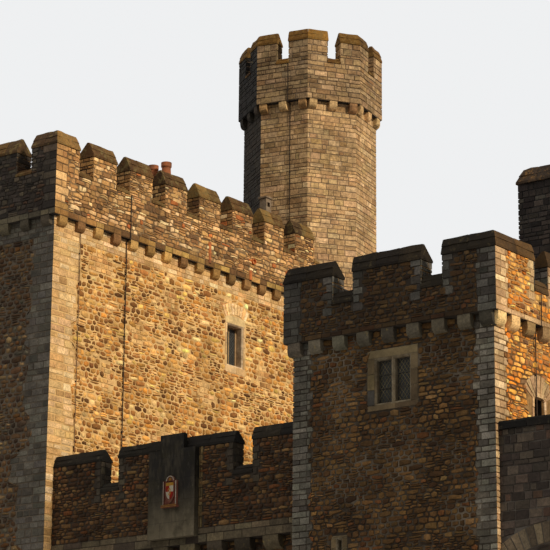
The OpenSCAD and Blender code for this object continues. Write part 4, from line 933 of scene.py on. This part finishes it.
# The turret mortar's lit colour on faces turned to the right is painted light.
finish_nodes(mortar_finish("turret_mortar", (0.035, 0.029, 0.023), lit_colour=(0.23, 0.155, 0.09), turned=0.1),
             "turret_shaft", "turret_parapet")
turret_walls = octagon_walls(2.18)
rng = np.random.default_rng(200)
beds = beds_of(rng, 0, TURRET_H, 0.165, 0.45)
groups = []
for k, wall in enumerate(turret_walls):
    door = (wall["length"] / 2, TURRET_DOORS[k]) if k in TURRET_DOORS else None
    groups += ashlar(wall, rng, beds, 0.36, toned(TURRET_STONE, TURRET_FACE_SHADING[k]), 0.6, door,
                     joint=0.01, proud=0.018, worn=0.011, spread=0.06)
piece("turret_stones", [outside_keep(g) for g in groups], turret_stone)


# Turret parapet. It oversails on three corbels a face; a thin string course runs at the sills' foot
# and tall merlons wrap each corner.
TURRET_BREAST, TURRET_MERLON, TURRET_THICK, TURRET_LEG = 1.41, 0.80, 0.44, 0.73
turret_runs = octagon_walls(2.37)
groups = []
for k, run in enumerate(turret_runs):
    # The parapet's stone darker than the shaft's, more so on the front-left face, times the face's painted shading.
    palette = toned(TURRET_STONE, (0.5 if k == 5 else 0.72) * TURRET_FACE_SHADING[k])
    groups += parapet(run, 0, TURRET_LEG, 0, TURRET_THICK, TURRET_H, TURRET_BREAST, TURRET_MERLON,
                      np.random.default_rng(210 + k), palette, bed=0.18, length=0.38, slant=TURRET_SLANT)
piece("turret_parapet_stones", groups, turret_stone)
groups = []
for k, wall in enumerate(turret_walls):
    groups.append(corbels(wall, wall["length"] / 2 + np.array([-0.756, 0, 0.756]), 0.29, 0.19, 0.33, TURRET_H,
                          np.random.default_rng(220 + k), toned(TURRET_CORBEL, TURRET_FACE_SHADING[k])))
piece("turret_corbel_stones", groups, turret_stone, ["turret_corbels"])


# Turret copings. The same two-course saddleback slabs, golden with lichen, mitred at each corner.
GOLDEN_COPING = [(110, 78, 36, 3), (94, 66, 33, 2), (124, 88, 40, 2)]
turret_coping = stone_finish("turret_coping_stone", dark=0.5, light=1.35, share=0.55, growth=(0.19, 0.105, 0.027),
                             bump=0.018)
levels = TURRET_H + TURRET_BREAST + TURRET_MERLON, TURRET_H + TURRET_BREAST
groups = []
for k, run in enumerate(turret_runs):
    groups += run_copings(run, 0, TURRET_LEG, 0, TURRET_SLANT, TURRET_THICK, (0.40, 0.20), 0.06, levels,
                          np.random.default_rng(230 + k), toned(GOLDEN_COPING, 0.66 + 0.3 * TURRET_FACE_SHADING[k]))
piece("turret_coping_slabs", groups, turret_coping, ["turret_copings"])


# Curtain wall. Dark brown rounded rubble from the great tower to the gate tower, in deep recessed
# joints; a pale lintel band runs over the corbels, whose gaps are open to the foot of the wall.
def crenel_jambs(rng, crenels, low, high, long, short):
    """Rows of dressed stones up both sides of each crenel, by turns long and short."""
    rows = []
    for a, b, *_ in crenels:
        beds = beds_of(rng, low, high, 0.22, 0.2)
        wide = np.where(np.arange(len(beds) - 1) % 2 == 0, long, short)
        rows += [between(a - wide, a, beds), between(b, b + wide, beds)]
    return np.concatenate(rows)


CURTAIN_Y, CURTAIN_L, CURTAIN_H, CURTAIN_THICK = 0.33, 9.35, 6.18, 0.42
LINTEL_Z, LINTEL_TOP, SILL_Z, MERLON_Z = CURTAIN_H + 0.24, CURTAIN_H + 0.42, CURTAIN_H + 1.80, CURTAIN_H + 2.73
CURTAIN_CRENELS = (1, 1.88, 4.21)
CURTAIN_RUBBLE = [(86, 62, 40, 4), (74, 53, 35, 4), (98, 73, 46, 3), (62, 45, 31, 3), (110, 84, 52, 1.4),
                  (92, 58, 34, 1.2)]
DARK_DRESSED = [(72, 64, 52, 3), (62, 55, 45, 3), (82, 72, 57, 2), (54, 47, 39, 1)]
LINTEL_STONE = [(98, 86, 66, 3), (84, 74, 58, 2), (72, 62, 50, 1)]
MARGIN_STONE = [(112, 94, 62, 2), (98, 82, 56, 1)]
CURTAIN_CORBEL = [(96, 86, 66, 3), (82, 72, 56, 2), (68, 60, 48, 1)]
PANEL = (3.86, 5.55, 6.38, 8.95)
PALE_MARGIN = (5.55, 5.69, 6.40, 8.95)
finish_nodes(mortar_finish("curtain_mortar", (0.038, 0.027, 0.017), (0.45, 0.42, 0.4)),
             "curtain_wall", "curtain_parapet")
curtain_stone = stone_finish("curtain_rubble")
rng = np.random.default_rng(300)
parapet_face = wall_of(0, CURTAIN_Y, 0, CURTAIN_L, (0, 0))
crenels = [(a, b, SILL_Z, MERLON_Z) for a, b in gaps_of(merlons(CURTAIN_L, *CURTAIN_CRENELS))]
jambs = crenel_jambs(rng, crenels, SILL_Z - 0.28, MERLON_Z, 0.24, 0.16)
stones = rubble(parapet_face, (0, CURTAIN_L, LINTEL_TOP, MERLON_Z), (0.185, 0.12), rng, CURTAIN_RUBBLE,
                holes=[PANEL, PALE_MARGIN, *crenels, *map(tuple, jambs)],
                joint=0.017, proud=0.045, rounding=0.34, spread=0.18)
lintels = coursed(rng, 0, CURTAIN_L, np.array([CURTAIN_H, LINTEL_Z, LINTEL_TOP]), 0.7, 0.2)
margin = coursed(rng, *PALE_MARGIN[:2], beds_of(rng, 6.60, PALE_MARGIN[3], 0.3), 0.5)
groups = [stones]
for rows, palette, proud in ((cut(lintels, [PANEL]), LINTEL_STONE, 0.02), (margin, MARGIN_STONE, 0.03),
                             (jambs, DARK_DRESSED, 0.03)):
    groups.append(blocks(parapet_face, squared(rows), rng, palette, proud=proud))
for low, high, *_ in crenels:
    for x, y, angle in ((low, CURTAIN_Y, 90), (high, CURTAIN_Y + CURTAIN_THICK, 270)):
        cheek = wall_of(x, y, angle, CURTAIN_THICK)
        groups += ashlar(cheek, rng, beds_of(rng, SILL_Z, MERLON_Z, 0.2), CURTAIN_THICK, DARK_DRESSED)
back = wall_of(CURTAIN_L, CURTAIN_Y + CURTAIN_THICK, 180, CURTAIN_L, (0, 0))
turned = [(CURTAIN_L - high, CURTAIN_L - low, *heights) for low, high, *heights in crenels]
# The rear face's rubble lighter than the front's, whose darker palette is painted shade.
groups.append(rubble(back, (0, CURTAIN_L, CURTAIN_H, MERLON_Z), (0.24, 0.16), rng, toned(CURTAIN_RUBBLE, 1.7),
                     holes=turned, joint=0.02, proud=0.025))
piece("curtain_parapet_stones", groups, curtain_stone)
front, rear = wall_of(0, 0.63, 0, CURTAIN_L, (0, 0)), wall_of(CURTAIN_L, 1.88, 180, CURTAIN_L, (0, 0))
# Painted shade: the front's rubble darker than the rear's.
groups = [rubble(wall, (0, CURTAIN_L, 0, CURTAIN_H), (0.24, 0.16), rng, toned(CURTAIN_RUBBLE, tone),
                 joint=0.02, proud=0.045, rounding=0.34) for wall, tone in ((front, 1), (rear, 1.7))]
piece("curtain_wall_stones", groups, curtain_stone)
middles = CURTAIN_L - 0.79 - (np.arange(9) - 0.5) * 0.975
stones = corbels(front, middles, 0.535, 0.30, 0.38, CURTAIN_H, rng, CURTAIN_CORBEL)
piece("curtain_corbel_stones", [stones], corbel_stone, ["curtain_corbels"])


# Curtain wall copings. Near-black weathered slabs with a drip edge, gabled at the crenels.
BLACK_COPING = [(34, 30, 24, 3), (28, 25, 21, 3), (41, 36, 28, 1.5)]
slate_coping = stone_finish("slate_coping", share=0.25, growth=(0.06, 0.05, 0.03), bump=0.016)
groups = run_copings(parapet_face, *CURTAIN_CRENELS, 0, CURTAIN_THICK, (0.35, 0.26), 0.09, (MERLON_Z, SILL_Z), rng,
                     toned(BLACK_COPING, 1.3), length=0.85)
piece("curtain_coping_slabs", groups, slate_coping, ["curtain_copings"])


# Panel block. Large smooth dark stones, green-grey and water-streaked, carrying a small painted
# shield under a round hood on a ledge; its middle rises above the coping. The stone is paler towards
# its foot, with water streaks and lime drips running down and thin course joints every 0.62 m.
f = Finish("panel_ashlar")
blots = f.noise(2.6, 6, 0.7)
foot = f.ranged(f.add("ShaderNodeSeparateXYZ", {0: f.where}).outputs[2], 6.4, 7.8, 0.7, 0)
runs = f.math("ADD", f.ranged(f.noise((3.6, 3.6, 1.1), 6, 0.65), 0.46, 0.72, 0, 0.3), foot, use_clamp=True)
tint = f.mixed(runs, (0.0125, 0.0104, 0.0078), (0.16, 0.128, 0.078))
tint = f.mixed(f.ranged(blots, 0.5, 0.68, 0, 0.5), tint, (0.023, 0.0195, 0.0105))
tint = f.mixed(f.ranged(f.noise((7, 7, 2.0), 7, 0.7), 0.58, 0.72, 0, 0.45), tint, (0.15, 0.13, 0.092))
joints = f.add("ShaderNodeTexBrick", {
    "Vector": f.mapped(Rotation=(math.pi / 2, 0, 0)), "Scale": 1, "Brick Width": 0.86, "Row Height": 0.62,
    "Mortar Size": 0.006, "Color1": (1, 1, 1, 1), "Color2": (0.9, 0.9, 0.9, 1),
    "Mortar": (0.6, 0.6, 0.6, 1)}).outputs["Color"]
tint = f.mixed(1.0, tint, joints, "MULTIPLY")
panel_ashlar = f.done(tint, f.ranged(blots, 0.3, 0.7, 0.7, 0.95), f.noise(55, 4), 0.004, Specular_IOR_Level=0.1)
finish_nodes(panel_ashlar, "panel_block")
finish_nodes(stone_finish("painted_stone", grain=50, dark=0.7, light=1.2, colour=(0.16, 0.055, 0.035), share=0.25,
                          growth=(0.16, 0.13, 0.08)), "shield_panel")


def shield(wall, s, z, width, height, base, dome, rows=40, columns=33):
    """A painted heater shield: straight sides to 45% down, then two arcs to the point; a grid of (across, down)
    points, domed by 1 - across squared. Quarters red and white, a gold band on top, a gold ring in the middle."""
    down, across = np.meshgrid(np.linspace(0, 1, rows), np.linspace(-1, 1, columns), indexing="ij")
    reach = np.sqrt(np.maximum(1 - (np.maximum(down - 0.45, 0) / 0.55) ** 2.2, 0.0004))
    rise = base + dome * (1 - across ** 2) * reach
    rise[:, [0, -1]] = base - 0.012
    verts = placed(wall, s + across * reach * width / 2, z - down * height, rise).reshape(1, -1, 3)
    k = (np.arange(rows - 1)[:, None] * columns + np.arange(columns - 1)).ravel()
    faces = np.stack([k, k + columns, k + columns + 1, k + 1], 1)
    paints = [(0.44, 0.12, 0.08), (0.60, 0.56, 0.48), (0.55, 0.40, 0.15), (0.11, 0.10, 0.10)]
    red, white, gold, dark = np.array(paints) ** 2.2
    ring = np.hypot(across * 0.8, (down - 0.55) * 1.3)
    tint = np.where(((across > 0) ^ (down > 0.55))[..., None], white, red)
    for painted, colour in ((down < 0.2, gold), ((ring > 0.2) & (ring < 0.3), gold), (np.abs(across) > 0.92, dark)):
        tint = np.where(painted[..., None], colour, tint)
    return {"verts": verts, "faces": faces, "tint": tint, "smooth": True}


GOLD_PAINT = [(128, 94, 40, 1)]
WHITE_PAINT = [(150, 140, 122, 2), (130, 121, 106, 1)]
SHIELD_S = 4.705
panel_face = wall_of(0, 0.13, 0, CURTAIN_L, (0, 0))
painted = stone_finish("painted_shield", grain=60, dark=0.72, light=1.15, share=0.12, growth=(0.05, 0.045, 0.04),
                       bump=0.002)
piece("shield_face", [shield(panel_face, SHIELD_S, 7.935, 0.30, 0.47, 0.072, 0.02)], painted)
posts = [[[4.475, 7.30], [4.475, 7.98]], [[4.935, 7.30], [4.935, 7.98]]]
ledges = [[[4.43, 7.295], [4.98, 7.295]], [[4.43, 7.25], [4.98, 7.25]]]
groups = [strips(panel_face, posts, 0.028, 0.014, 0.075, rng, WHITE_PAINT),
          strips(panel_face, ledges, 0.018, 0.012, 0.11, rng, GOLD_PAINT),
          blocks(panel_face, ring_stones(SHIELD_S, 7.99, 0.115, 0.148, 9), rng, WHITE_PAINT,
                 joint=0.003, proud=0.012, worn=0.003, base=0.06),
          blocks(panel_face, ring_stones(SHIELD_S, 8.03, 0.0, 0.045, 8, 0, 360), rng, GOLD_PAINT,
                 joint=0.0005, proud=0.02, worn=0.001, base=0.055)]
piece("shield_mouldings", groups, painted)


# Gate tower, walls. Small angular red-brown rubble laid on its beds in deep joints, between grey
# dressed corner stones; the right face is painted warmer and brighter, as lit, and has a small
# opening under a fan of long stones.
GT_X0, GT_X1, GT_Y0, GT_Y1, GT_H = 9.35, 15.77, -0.30, 6.70, 11.19
# Lit and shaded copies of the gate tower's stone, as painted light and shade: lit ones on the right face.
GT_RUBBLE = [(90, 67, 40, 4), (80, 58, 35, 4), (99, 73, 43, 3), (68, 49, 31, 2.6), (110, 84, 52, 0.9),
             (92, 60, 35, 1)]
GT_LIT_RUBBLE = [(214, 140, 60, 4), (192, 120, 52, 4), (228, 162, 82, 3), (164, 104, 50, 2.4), (134, 88, 50, 1.6),
             (232, 178, 104, 1.4), (106, 76, 52, 0.8), (212, 118, 42, 1.6)]
GT_QUOIN = [(104, 98, 86, 3), (92, 86, 75, 3), (114, 107, 94, 2), (80, 74, 64, 2)]
GT_LIT_QUOIN = [(206, 168, 120, 3), (192, 154, 108, 3), (176, 138, 96, 2), (216, 182, 136, 1)]
GT_FAN = [(188, 152, 108, 2), (168, 132, 92, 2), (204, 170, 124, 1)]
TWO_LIGHT = (2.44, 4.06, 9.02, 10.67)
SLIT = (1.25, 1.77, 4.60, 5.81)
GT_DOOR = (4.385, 0.25)
REAR_TURRET_LEFT, REAR_TURRET_FRONT = 12.34, 6.44
GT_CELL = (0.22, 0.135)
# The mortar's lit colour on the right face is painted light.
gate_mortar = mortar_finish("gate_mortar", (0.15, 0.117, 0.079), (0.19, 0.165, 0.14), scale=0.6,
                            lit_colour=(0.66, 0.37, 0.13), clean=0.33)
finish_nodes(gate_mortar, *(f"gate_tower_{side}_wall" for side in SIDES))
gate_stone = stone_finish("gate_tower_rubble", bump=0.018)
gate_walls = four_walls(GT_X0, GT_Y0, GT_X1, GT_Y1)
rng = np.random.default_rng(400)
gate_beds = [beds_of(rng, 0, GT_H, 0.165, 0.25) for k in range(4)]
for k, wall in enumerate(gate_walls):
    rng = np.random.default_rng(410 + k)
    bright = k == RIGHT
    corners = [quoins(rng, gate_beds[j % 4], 0.56, 0.1, 0.32) for j in (k, k + 1)]
    holes, parts = [], []
    # Painted shade: the shaded palettes darkest on the front, lighter on the rear and left.
    stones = toned(GT_LIT_RUBBLE, 1.3) if bright else toned(GT_RUBBLE, 1 if k == 0 else 1.7)
    quoin = GT_LIT_QUOIN if bright else toned(GT_QUOIN, 1.1 if k == 0 else 1.7)
    if k == 0:
        holes = [TWO_LIGHT, SLIT]
    if bright:
        holes = [(1.78, 2.52, 8.30, 9.42), (2.15, 9.25, 0.62)]
        fan = ring_stones(2.15, 9.05, 0.28, 0.86, 9, 28, 124)
        outer, inner = (1.80, 2.50, 8.30, 9.42), (1.91, 2.39, 8.41, 9.29)
        parts = [blocks(wall, fan, rng, GT_FAN, proud=0.025),
                 dressing(wall, rng, outer, inner, 3, GT_LIT_QUOIN, proud=0.02)]
    if k == 2:
        holes = door_holes(*GT_DOOR)
        parts = [door_stones(wall, rng, *GT_DOOR, GT_QUOIN)]
    # On the front, the left corner's quoins are darker than the right corner's: painted shade and light.
    parts += walling(wall, rng, corners, (0, wall["length"], 0, GT_H), GT_CELL,
                     (stones, toned(quoin, 0.78) if k == 0 else quoin, quoin), holes,
                     dict(joint=0.022, proud=0.03 if bright else 0.038, rounding=0.34, spread=0.22, flat=True,
                          merged=0.13), dict(proud=0.022, worn=0.013))
    if k == 2:
        parts = [chosen(part, part["verts"].mean(1)[:, 0] <= REAR_TURRET_LEFT) for part in parts]
    piece("gate_tower_stones_" + SIDES[k], parts, gate_stone)


# Gate tower, parapet. The same rubble with dressed stones up its corners and beside each crenel,
# over bold corbels; the copings are long dark slabs, brown on the right run as painted light.
def outside_rear_turret(part):
    """The group of stones without those that lie inside the rear turret's walls."""
    middle = part["verts"].mean(1)
    return chosen(part, (middle[:, 0] <= REAR_TURRET_LEFT) | (middle[:, 1] <= REAR_TURRET_FRONT))


GT_PROJ, GT_BREAST, GT_MERLON, GT_THICK, GT_FOOT = 0.20, 0.89, 0.81, 0.50, 0.14
GT_SILL, GT_TOP = GT_H + GT_BREAST, GT_H + GT_BREAST + GT_MERLON
GT_CRENELS = [(1, 1.62, 2.18), (1, 1.89, 2.22)] * 2
# Lit and shaded copies of the corbel and coping stone, as painted light and shade: lit ones on the right run.
GT_CORBEL = [(94, 86, 71, 3), (80, 73, 60, 2), (106, 96, 77, 1)]
GT_LIT_CORBEL = [(206, 168, 112, 3), (184, 146, 96, 2)]
GT_COPING = [(35, 29, 21, 3), (29, 24, 18, 3), (43, 35, 24, 1.5)]
GT_LIT_COPING = [(104, 76, 44, 3), (82, 61, 37, 2)]
# The parapet mortar's lit colour on the right run is painted light.
finish_nodes(mortar_finish("gate_parapet_mortar", (0.045, 0.034, 0.023), (0.5, 0.45, 0.4), scale=0.6,
                           lit_colour=(0.46, 0.26, 0.095)), "gate_tower_parapet")
gate_runs = four_walls(GT_X0 - GT_PROJ, GT_Y0 - GT_PROJ, GT_X1 + GT_PROJ, GT_Y1 + GT_PROJ)
for k, run in enumerate(gate_runs):
    rng = np.random.default_rng(430 + k)
    bright, length = k == RIGHT, run["length"]
    # Off the right run, shaded copies darker than the walls' ones, and darker again in the foot course.
    palette = GT_LIT_QUOIN if bright else toned(GT_QUOIN, 0.55)
    stones = toned(GT_LIT_RUBBLE, 1.2) if bright else toned(GT_RUBBLE, 0.63)
    crenels = [(a, b, GT_SILL, GT_TOP + 0.1) for a, b in gaps_of(merlons(length, *GT_CRENELS[k]))]
    beds = beds_of(rng, GT_H, GT_TOP, 0.19, 0.2)
    corners = [quoins(np.random.default_rng(440 + j), beds, 0.56, 0.06, 0.34) for j in (k, k + 1)]
    jambs = crenel_jambs(rng, crenels, GT_SILL - 0.30, GT_TOP, 0.32, 0.20)
    foot = coursed(rng, 0.5, length - 0.5, np.array([GT_H, GT_H + GT_FOOT]), 0.5)
    groups = walling(run, rng, corners, (0, length, GT_H + GT_FOOT, GT_TOP), GT_CELL, (stones, palette, palette),
                     [*crenels, *map(tuple, jambs), (0, length, GT_H - 1, GT_H + GT_FOOT)],
                     dict(joint=0.02, proud=0.034, rounding=0.32, spread=0.19, flat=True, merged=0.13),
                     dict(proud=0.02, spread=0.1))
    groups.append(blocks(run, squared(jambs), rng, palette, proud=0.026, worn=0.015))
    groups.append(blocks(run, squared(foot), rng, GT_LIT_QUOIN if bright else toned(GT_RUBBLE, 0.5), proud=0.025))
    groups += parapet(run, *GT_CRENELS[k], GT_THICK, GT_H, GT_BREAST, GT_MERLON, rng, GT_QUOIN, bed=0.17,
                      length=0.32, faces=False)
    piece("gate_tower_parapet_stones_" + SIDES[k], [outside_rear_turret(g) for g in groups], gate_stone)
groups = []
for k, wall in enumerate(gate_walls):
    middles = np.linspace(0, wall["length"], 9 + k % 2)
    middles[[0, -1]] += 0.12, -0.12
    groups.append(corbels(wall, middles, 0.40, GT_PROJ, 0.38, GT_H, np.random.default_rng(450 + k),
                          GT_LIT_CORBEL if k == RIGHT else GT_CORBEL))
piece("gate_tower_corbel_stones", [outside_rear_turret(g) for g in groups], corbel_stone,
      ["gate_tower_corbels"])
groups = []
for k, run in enumerate(gate_runs):
    groups += run_copings(run, *GT_CRENELS[k], 1.0, GT_THICK, (0.44, 0.33), 0.065, (GT_TOP, GT_SILL),
                          np.random.default_rng(460 + k), GT_LIT_COPING if k == RIGHT else GT_COPING, length=0.8)
gate_coping = stone_finish("gate_coping_stone", share=0.3, growth=(0.06, 0.044, 0.02), bump=0.018)
piece("gate_tower_coping_slabs", [outside_rear_turret(g) for g in groups], gate_coping,
      ["gate_tower_copings"])


# Gate tower windows, front. Dressed stones round a two-light window with a stone mullion and round
# the slit below it; diamond leading in iron frames stands in the two lights.
WINDOW_GREY = [(108, 92, 66, 3), (94, 80, 58, 2), (122, 105, 77, 1), (66, 62, 56, 0.6)]
IRON = [(70, 66, 60, 2), (58, 54, 50, 1)]
LEADING = [(108, 97, 70, 2), (90, 82, 60, 1)]
LIGHT_LOW, LIGHT_HIGH, GT_LIGHT_BACK = 9.22, 10.39, -0.16
finish_nodes(stone_finish("gate_window_bed", colour=(0.215, 0.17, 0.105), dark=0.65, light=1.25),
             "gate_tower_window_stones", "slit_window_stones")
finish_nodes(leaded_glass, "gate_tower_window_glass")
rng = np.random.default_rng(470)
wall = gate_walls[0]
groups = [dressing(wall, rng, outer, inner, rows, WINDOW_GREY, proud=0.016) for outer, inner, rows in (
    (TWO_LIGHT, (2.67, 3.83, 9.17, 10.44), 3), (SLIT, (1.41, 1.61, 4.65, 5.75), 4))]
piece("gate_window_dressing", groups, dressed_stone)
groups = []
for low in (2.72, 3.31):
    high = low + 0.47
    bars = [[[s, LIGHT_LOW], [s, LIGHT_HIGH]] for s in (low + 0.015, high - 0.015)]
    bars += [[[low, z], [high, z]] for z in (LIGHT_LOW + 0.015, LIGHT_HIGH - 0.015, 9.62, 10.0)]
    leads = lattice(low + 0.02, high - 0.02, LIGHT_LOW + 0.02, LIGHT_HIGH - 0.02, 0.108, 0.15)
    groups.append(strips(wall, bars, 0.026, 0.022, GT_LIGHT_BACK, rng, IRON))
    groups.append(strips(wall, leads, 0.014, 0.009, GT_LIGHT_BACK, rng, LEADING))
piece("gate_window_lights", groups, window_lead)


# Gate wall. Coursed grey-brown blocks with long wedge stones round a depressed arch, and a thick
# weathered coping over a drip.
def round_arch(stones, centre, spring, half, reach):
    """Corners of the stones fitted round an arch ring: those over the spring move out from the centre to reach."""
    corners = squared(stones)
    offset = corners - centre
    span = np.hypot(offset[..., 0], offset[..., 1])
    over = (corners[..., 1] > spring - 0.05) & (span < reach)
    beside = (np.abs(offset[..., 0]) > half) & (corners[..., 1] < spring + 0.05)
    grown = centre + offset * (reach / np.maximum(span, 1e-6))[..., None]
    middle = corners.mean(1)
    inside = (np.hypot(*(middle - centre).T) < reach) & (middle[:, 1] > spring)
    kept = np.where((over & ~beside)[..., None], grown, corners)[~inside]
    return kept[(kept.max(1) - kept.min(1)).min(1) > 0.05]


def slabs(wall, length, depth, height, z, rng, palette):
    """Flat coping slabs across a wall: a box whose top falls to both sides by the slope, its front edge rounded off."""
    slope, joint = 0.05, 0.008
    cuts = np.linspace(0, length, round(length / 0.9) + 1)
    cuts[1:-1] += rng.uniform(-0.1, 0.1, len(cuts) - 2)
    foot = height - 0.05 - slope
    profile = np.array([(0, 0), (0, foot), (-0.03, height - slope), (-depth / 2, height),
                        (-depth + 0.03, height - slope), (-depth, foot), (-depth, 0)])[::-1]
    share = np.array([0, 0.04, 0.5, 0.96, 1])
    places = (cuts[:-1] + joint / 2)[:, None] + (np.diff(cuts) - joint)[:, None] * share
    wear = rng.normal(size=(len(places), 5, len(profile), 2)) * 0.006
    return carried(wall, profile + wear + np.array([0, z]), places[..., None], rng, palette, 0.14)


GW_X0, GW_Y, GW_L, GW_T, GW_H, GW_DRIP = 15.77, -0.15, 4.90, 1.20, 8.09, 0.06
ARCH_S, ARCH_HALF, ARCH_RADIUS, ARCH_Z, ARCH_REACH = 1.57, 1.35, 2.2, 2.89, 2.75
SPRING = ARCH_Z + math.sqrt(ARCH_RADIUS ** 2 - ARCH_HALF ** 2)
GW_STONE = [(74, 65, 56, 4), (64, 56, 49, 4), (86, 75, 63, 2.4), (55, 48, 42, 2.4), (78, 61, 49, 1.4)]
GW_WEDGE = [(96, 84, 68, 2), (84, 72, 58, 2), (108, 94, 74, 1)]
finish_nodes(mortar_finish("gate_wall_mortar", (0.12, 0.10, 0.078), (0.17, 0.16, 0.15), scale=0.6, clean=0.36),
             "gate_wall")
gate_ashlar = stone_finish("gate_ashlar")
rng = np.random.default_rng(500)
beds = beds_of(rng, 0, GW_H, 0.195, 0.35)
sweep = math.degrees(math.asin(ARCH_HALF / ARCH_RADIUS))
laid = dict(joint=0.014, proud=0.022, worn=0.014)
groups = []
for wall, middle in ((wall_of(GW_X0, GW_Y, 0, GW_L, (0, 1)), ARCH_S),
                     (wall_of(GW_X0 + GW_L, GW_Y + GW_T, 180, GW_L, (1, 0)), GW_L - ARCH_S)):
    stones = cut(coursed(rng, 0, GW_L, beds, 0.34, 0.5),
                 [(middle - ARCH_HALF - 0.01, middle + ARCH_HALF + 0.01, -1, SPRING)])
    corners = round_arch(stones, np.array([middle, ARCH_Z]), SPRING, ARCH_HALF, ARCH_REACH)
    groups.append(blocks(wall, corners, rng, GW_STONE, **laid))
    wedges = ring_stones(middle, ARCH_Z, ARCH_RADIUS, ARCH_REACH, 15, 90 - sweep, 2 * sweep)
    groups.append(blocks(wall, wedges, rng, GW_WEDGE, joint=0.014, proud=0.026, worn=0.012))
groups += ashlar(wall_of(GW_X0 + GW_L, GW_Y, 90, GW_T), rng, beds, 0.42, GW_STONE, **laid)
for x, angle, y in ((GW_X0 + ARCH_S - ARCH_HALF, 90, GW_Y), (GW_X0 + ARCH_S + ARCH_HALF, 270, GW_Y + GW_T)):
    groups += ashlar(wall_of(x, y, angle, GW_T), rng, beds_of(rng, 0, SPRING, 0.26), 0.5, GW_STONE, proud=0.012)
piece("gate_wall_stones", groups, gate_ashlar)
front = wall_of(GW_X0, GW_Y - GW_DRIP, 0, GW_L + GW_DRIP)
piece("gate_wall_coping_slabs", [slabs(front, GW_L + GW_DRIP, GW_T + 2 * GW_DRIP, 0.27, GW_H, rng, BLACK_COPING)],
      slate_coping, ["gate_wall_coping"])


# Rear turret. A square stair tower behind the gate tower, of very dark squared stone in courses of
# uneven height, with a splayed coping tinted orange by lichen.
RT_X0, RT_Y0, RT_X1, RT_Y1, RT_H = 12.32, 6.70, 15.77, 10.15, 17.03
RT_STONE = [(55, 49, 44, 4), (47, 42, 38, 4), (66, 58, 52, 2.4), (40, 35, 32, 2.4), (74, 67, 60, 0.8)]
RT_COPING = [(74, 60, 46, 3), (62, 52, 42, 2)]
RT_DOORS = {0: (1.525, 11.49), 2: (1.725, 0.25)}
finish_nodes(mortar_finish("rear_turret_mortar", (0.03, 0.026, 0.023), (0.7, 0.7, 0.7)), "rear_turret_walls")
dark_stone = stone_finish("dark_ashlar", share=0.08, growth=(0.14, 0.13, 0.11))
orange_coping = stone_finish("rear_turret_coping_stone", dark=0.5, light=1.35, share=0.45,
                             growth=(0.20, 0.105, 0.035), bump=0.012)
rear_turret_walls = four_walls(RT_X0, RT_Y0, RT_X1, RT_Y1)
rng = np.random.default_rng(600)
beds = beds_of(rng, 0, RT_H, 0.18, 0.35)
groups = []
for k, wall in enumerate(rear_turret_walls):
    # Painted light and shade: each face's stone lighter or darker, the right face lightest, the front darkest.
    groups += ashlar(wall, rng, beds if k else beds[beds > GT_H + 0.25], 0.32, toned(RT_STONE, (1, 2, 1.7, 1.4)[k]),
                     0.5, RT_DOORS.get(k), joint=0.014, proud=0.024, worn=0.014, spread=0.2)
piece("rear_turret_stones", groups, dark_stone)
groups = [copings(wall, [(0, wall["length"], 1.0, 1.0)], 0.63, 0.48, 0.11, RT_H, rng, RT_COPING,
                  over=0.07, length=0.7) for wall in rear_turret_walls]
piece("rear_turret_coping_slabs", groups, orange_coping, ["rear_turret_coping"])


# Lightning conductors. Flat copper tape gone nearly black, run down over the parapets, back under
# them and down the walls, held off by small saddles every metre.
COPPER, PALE_COPPER, SADDLE = [(60, 49, 40, 1)], [(112, 84, 60, 1)], [(66, 56, 48, 1)]
TAPE_THICK = 0.014


def tape(wall, s, path, rng, width=0.032, palette=COPPER):
    """Groups of bars: a flat tape at s along a wall, down a path of (out, height) points, and its saddles."""
    groups, path = [], np.array(path)
    for a, b in zip(path[:-1], path[1:]):
        along = (b - a) / np.hypot(*(b - a))
        across = np.array([-along[1], along[0]]) * TAPE_THICK
        groups.append(bar(wall, [a, b, b + across, a + across], s - width / 2, s + width / 2, rng, palette))
    for z in np.arange(path[-1, 1] + 0.5, path[0, 1] - 0.3, 1.0):
        out = np.interp(-z, -path[:, 1], path[:, 0])
        ring = [(out - 0.03, z - 0.02), (out + 0.012, z - 0.02), (out + 0.012, z + 0.02), (out - 0.03, z + 0.02)]
        groups.append(bar(wall, ring, s - width * 0.8, s + width * 0.8, rng, SADDLE))
    return groups


tape_finish = stone_finish("conductor_tape", grain=20, dark=0.7, light=1.3, bump=0.001)
rng = np.random.default_rng(700)
right, facet = keep_walls[RIGHT], turret_walls[6]
groups = tape(right, 3.30, [(0.20, 18.05), (0.20, 16.60), (0.045, 16.58), (0.045, 0.0)], rng)
groups += tape(right, 1.145, [(0.045, 16.32), (0.045, 6.18)], rng, 0.02, PALE_COPPER)
groups += tape(gate_walls[RIGHT], 1.945, [(0.255, 12.05), (0.255, 11.15), (0.055, 11.13), (0.055, 8.36)], rng)
groups += tape(facet, facet["length"] / 2 + 0.226, [(0.225, 25.43), (0.225, 24.02), (0.03, 24.0), (0.03, ROOF_Z)],
               rng, 0.03)
piece("conductor_tapes", groups, tape_finish, ["lightning_conductors"])
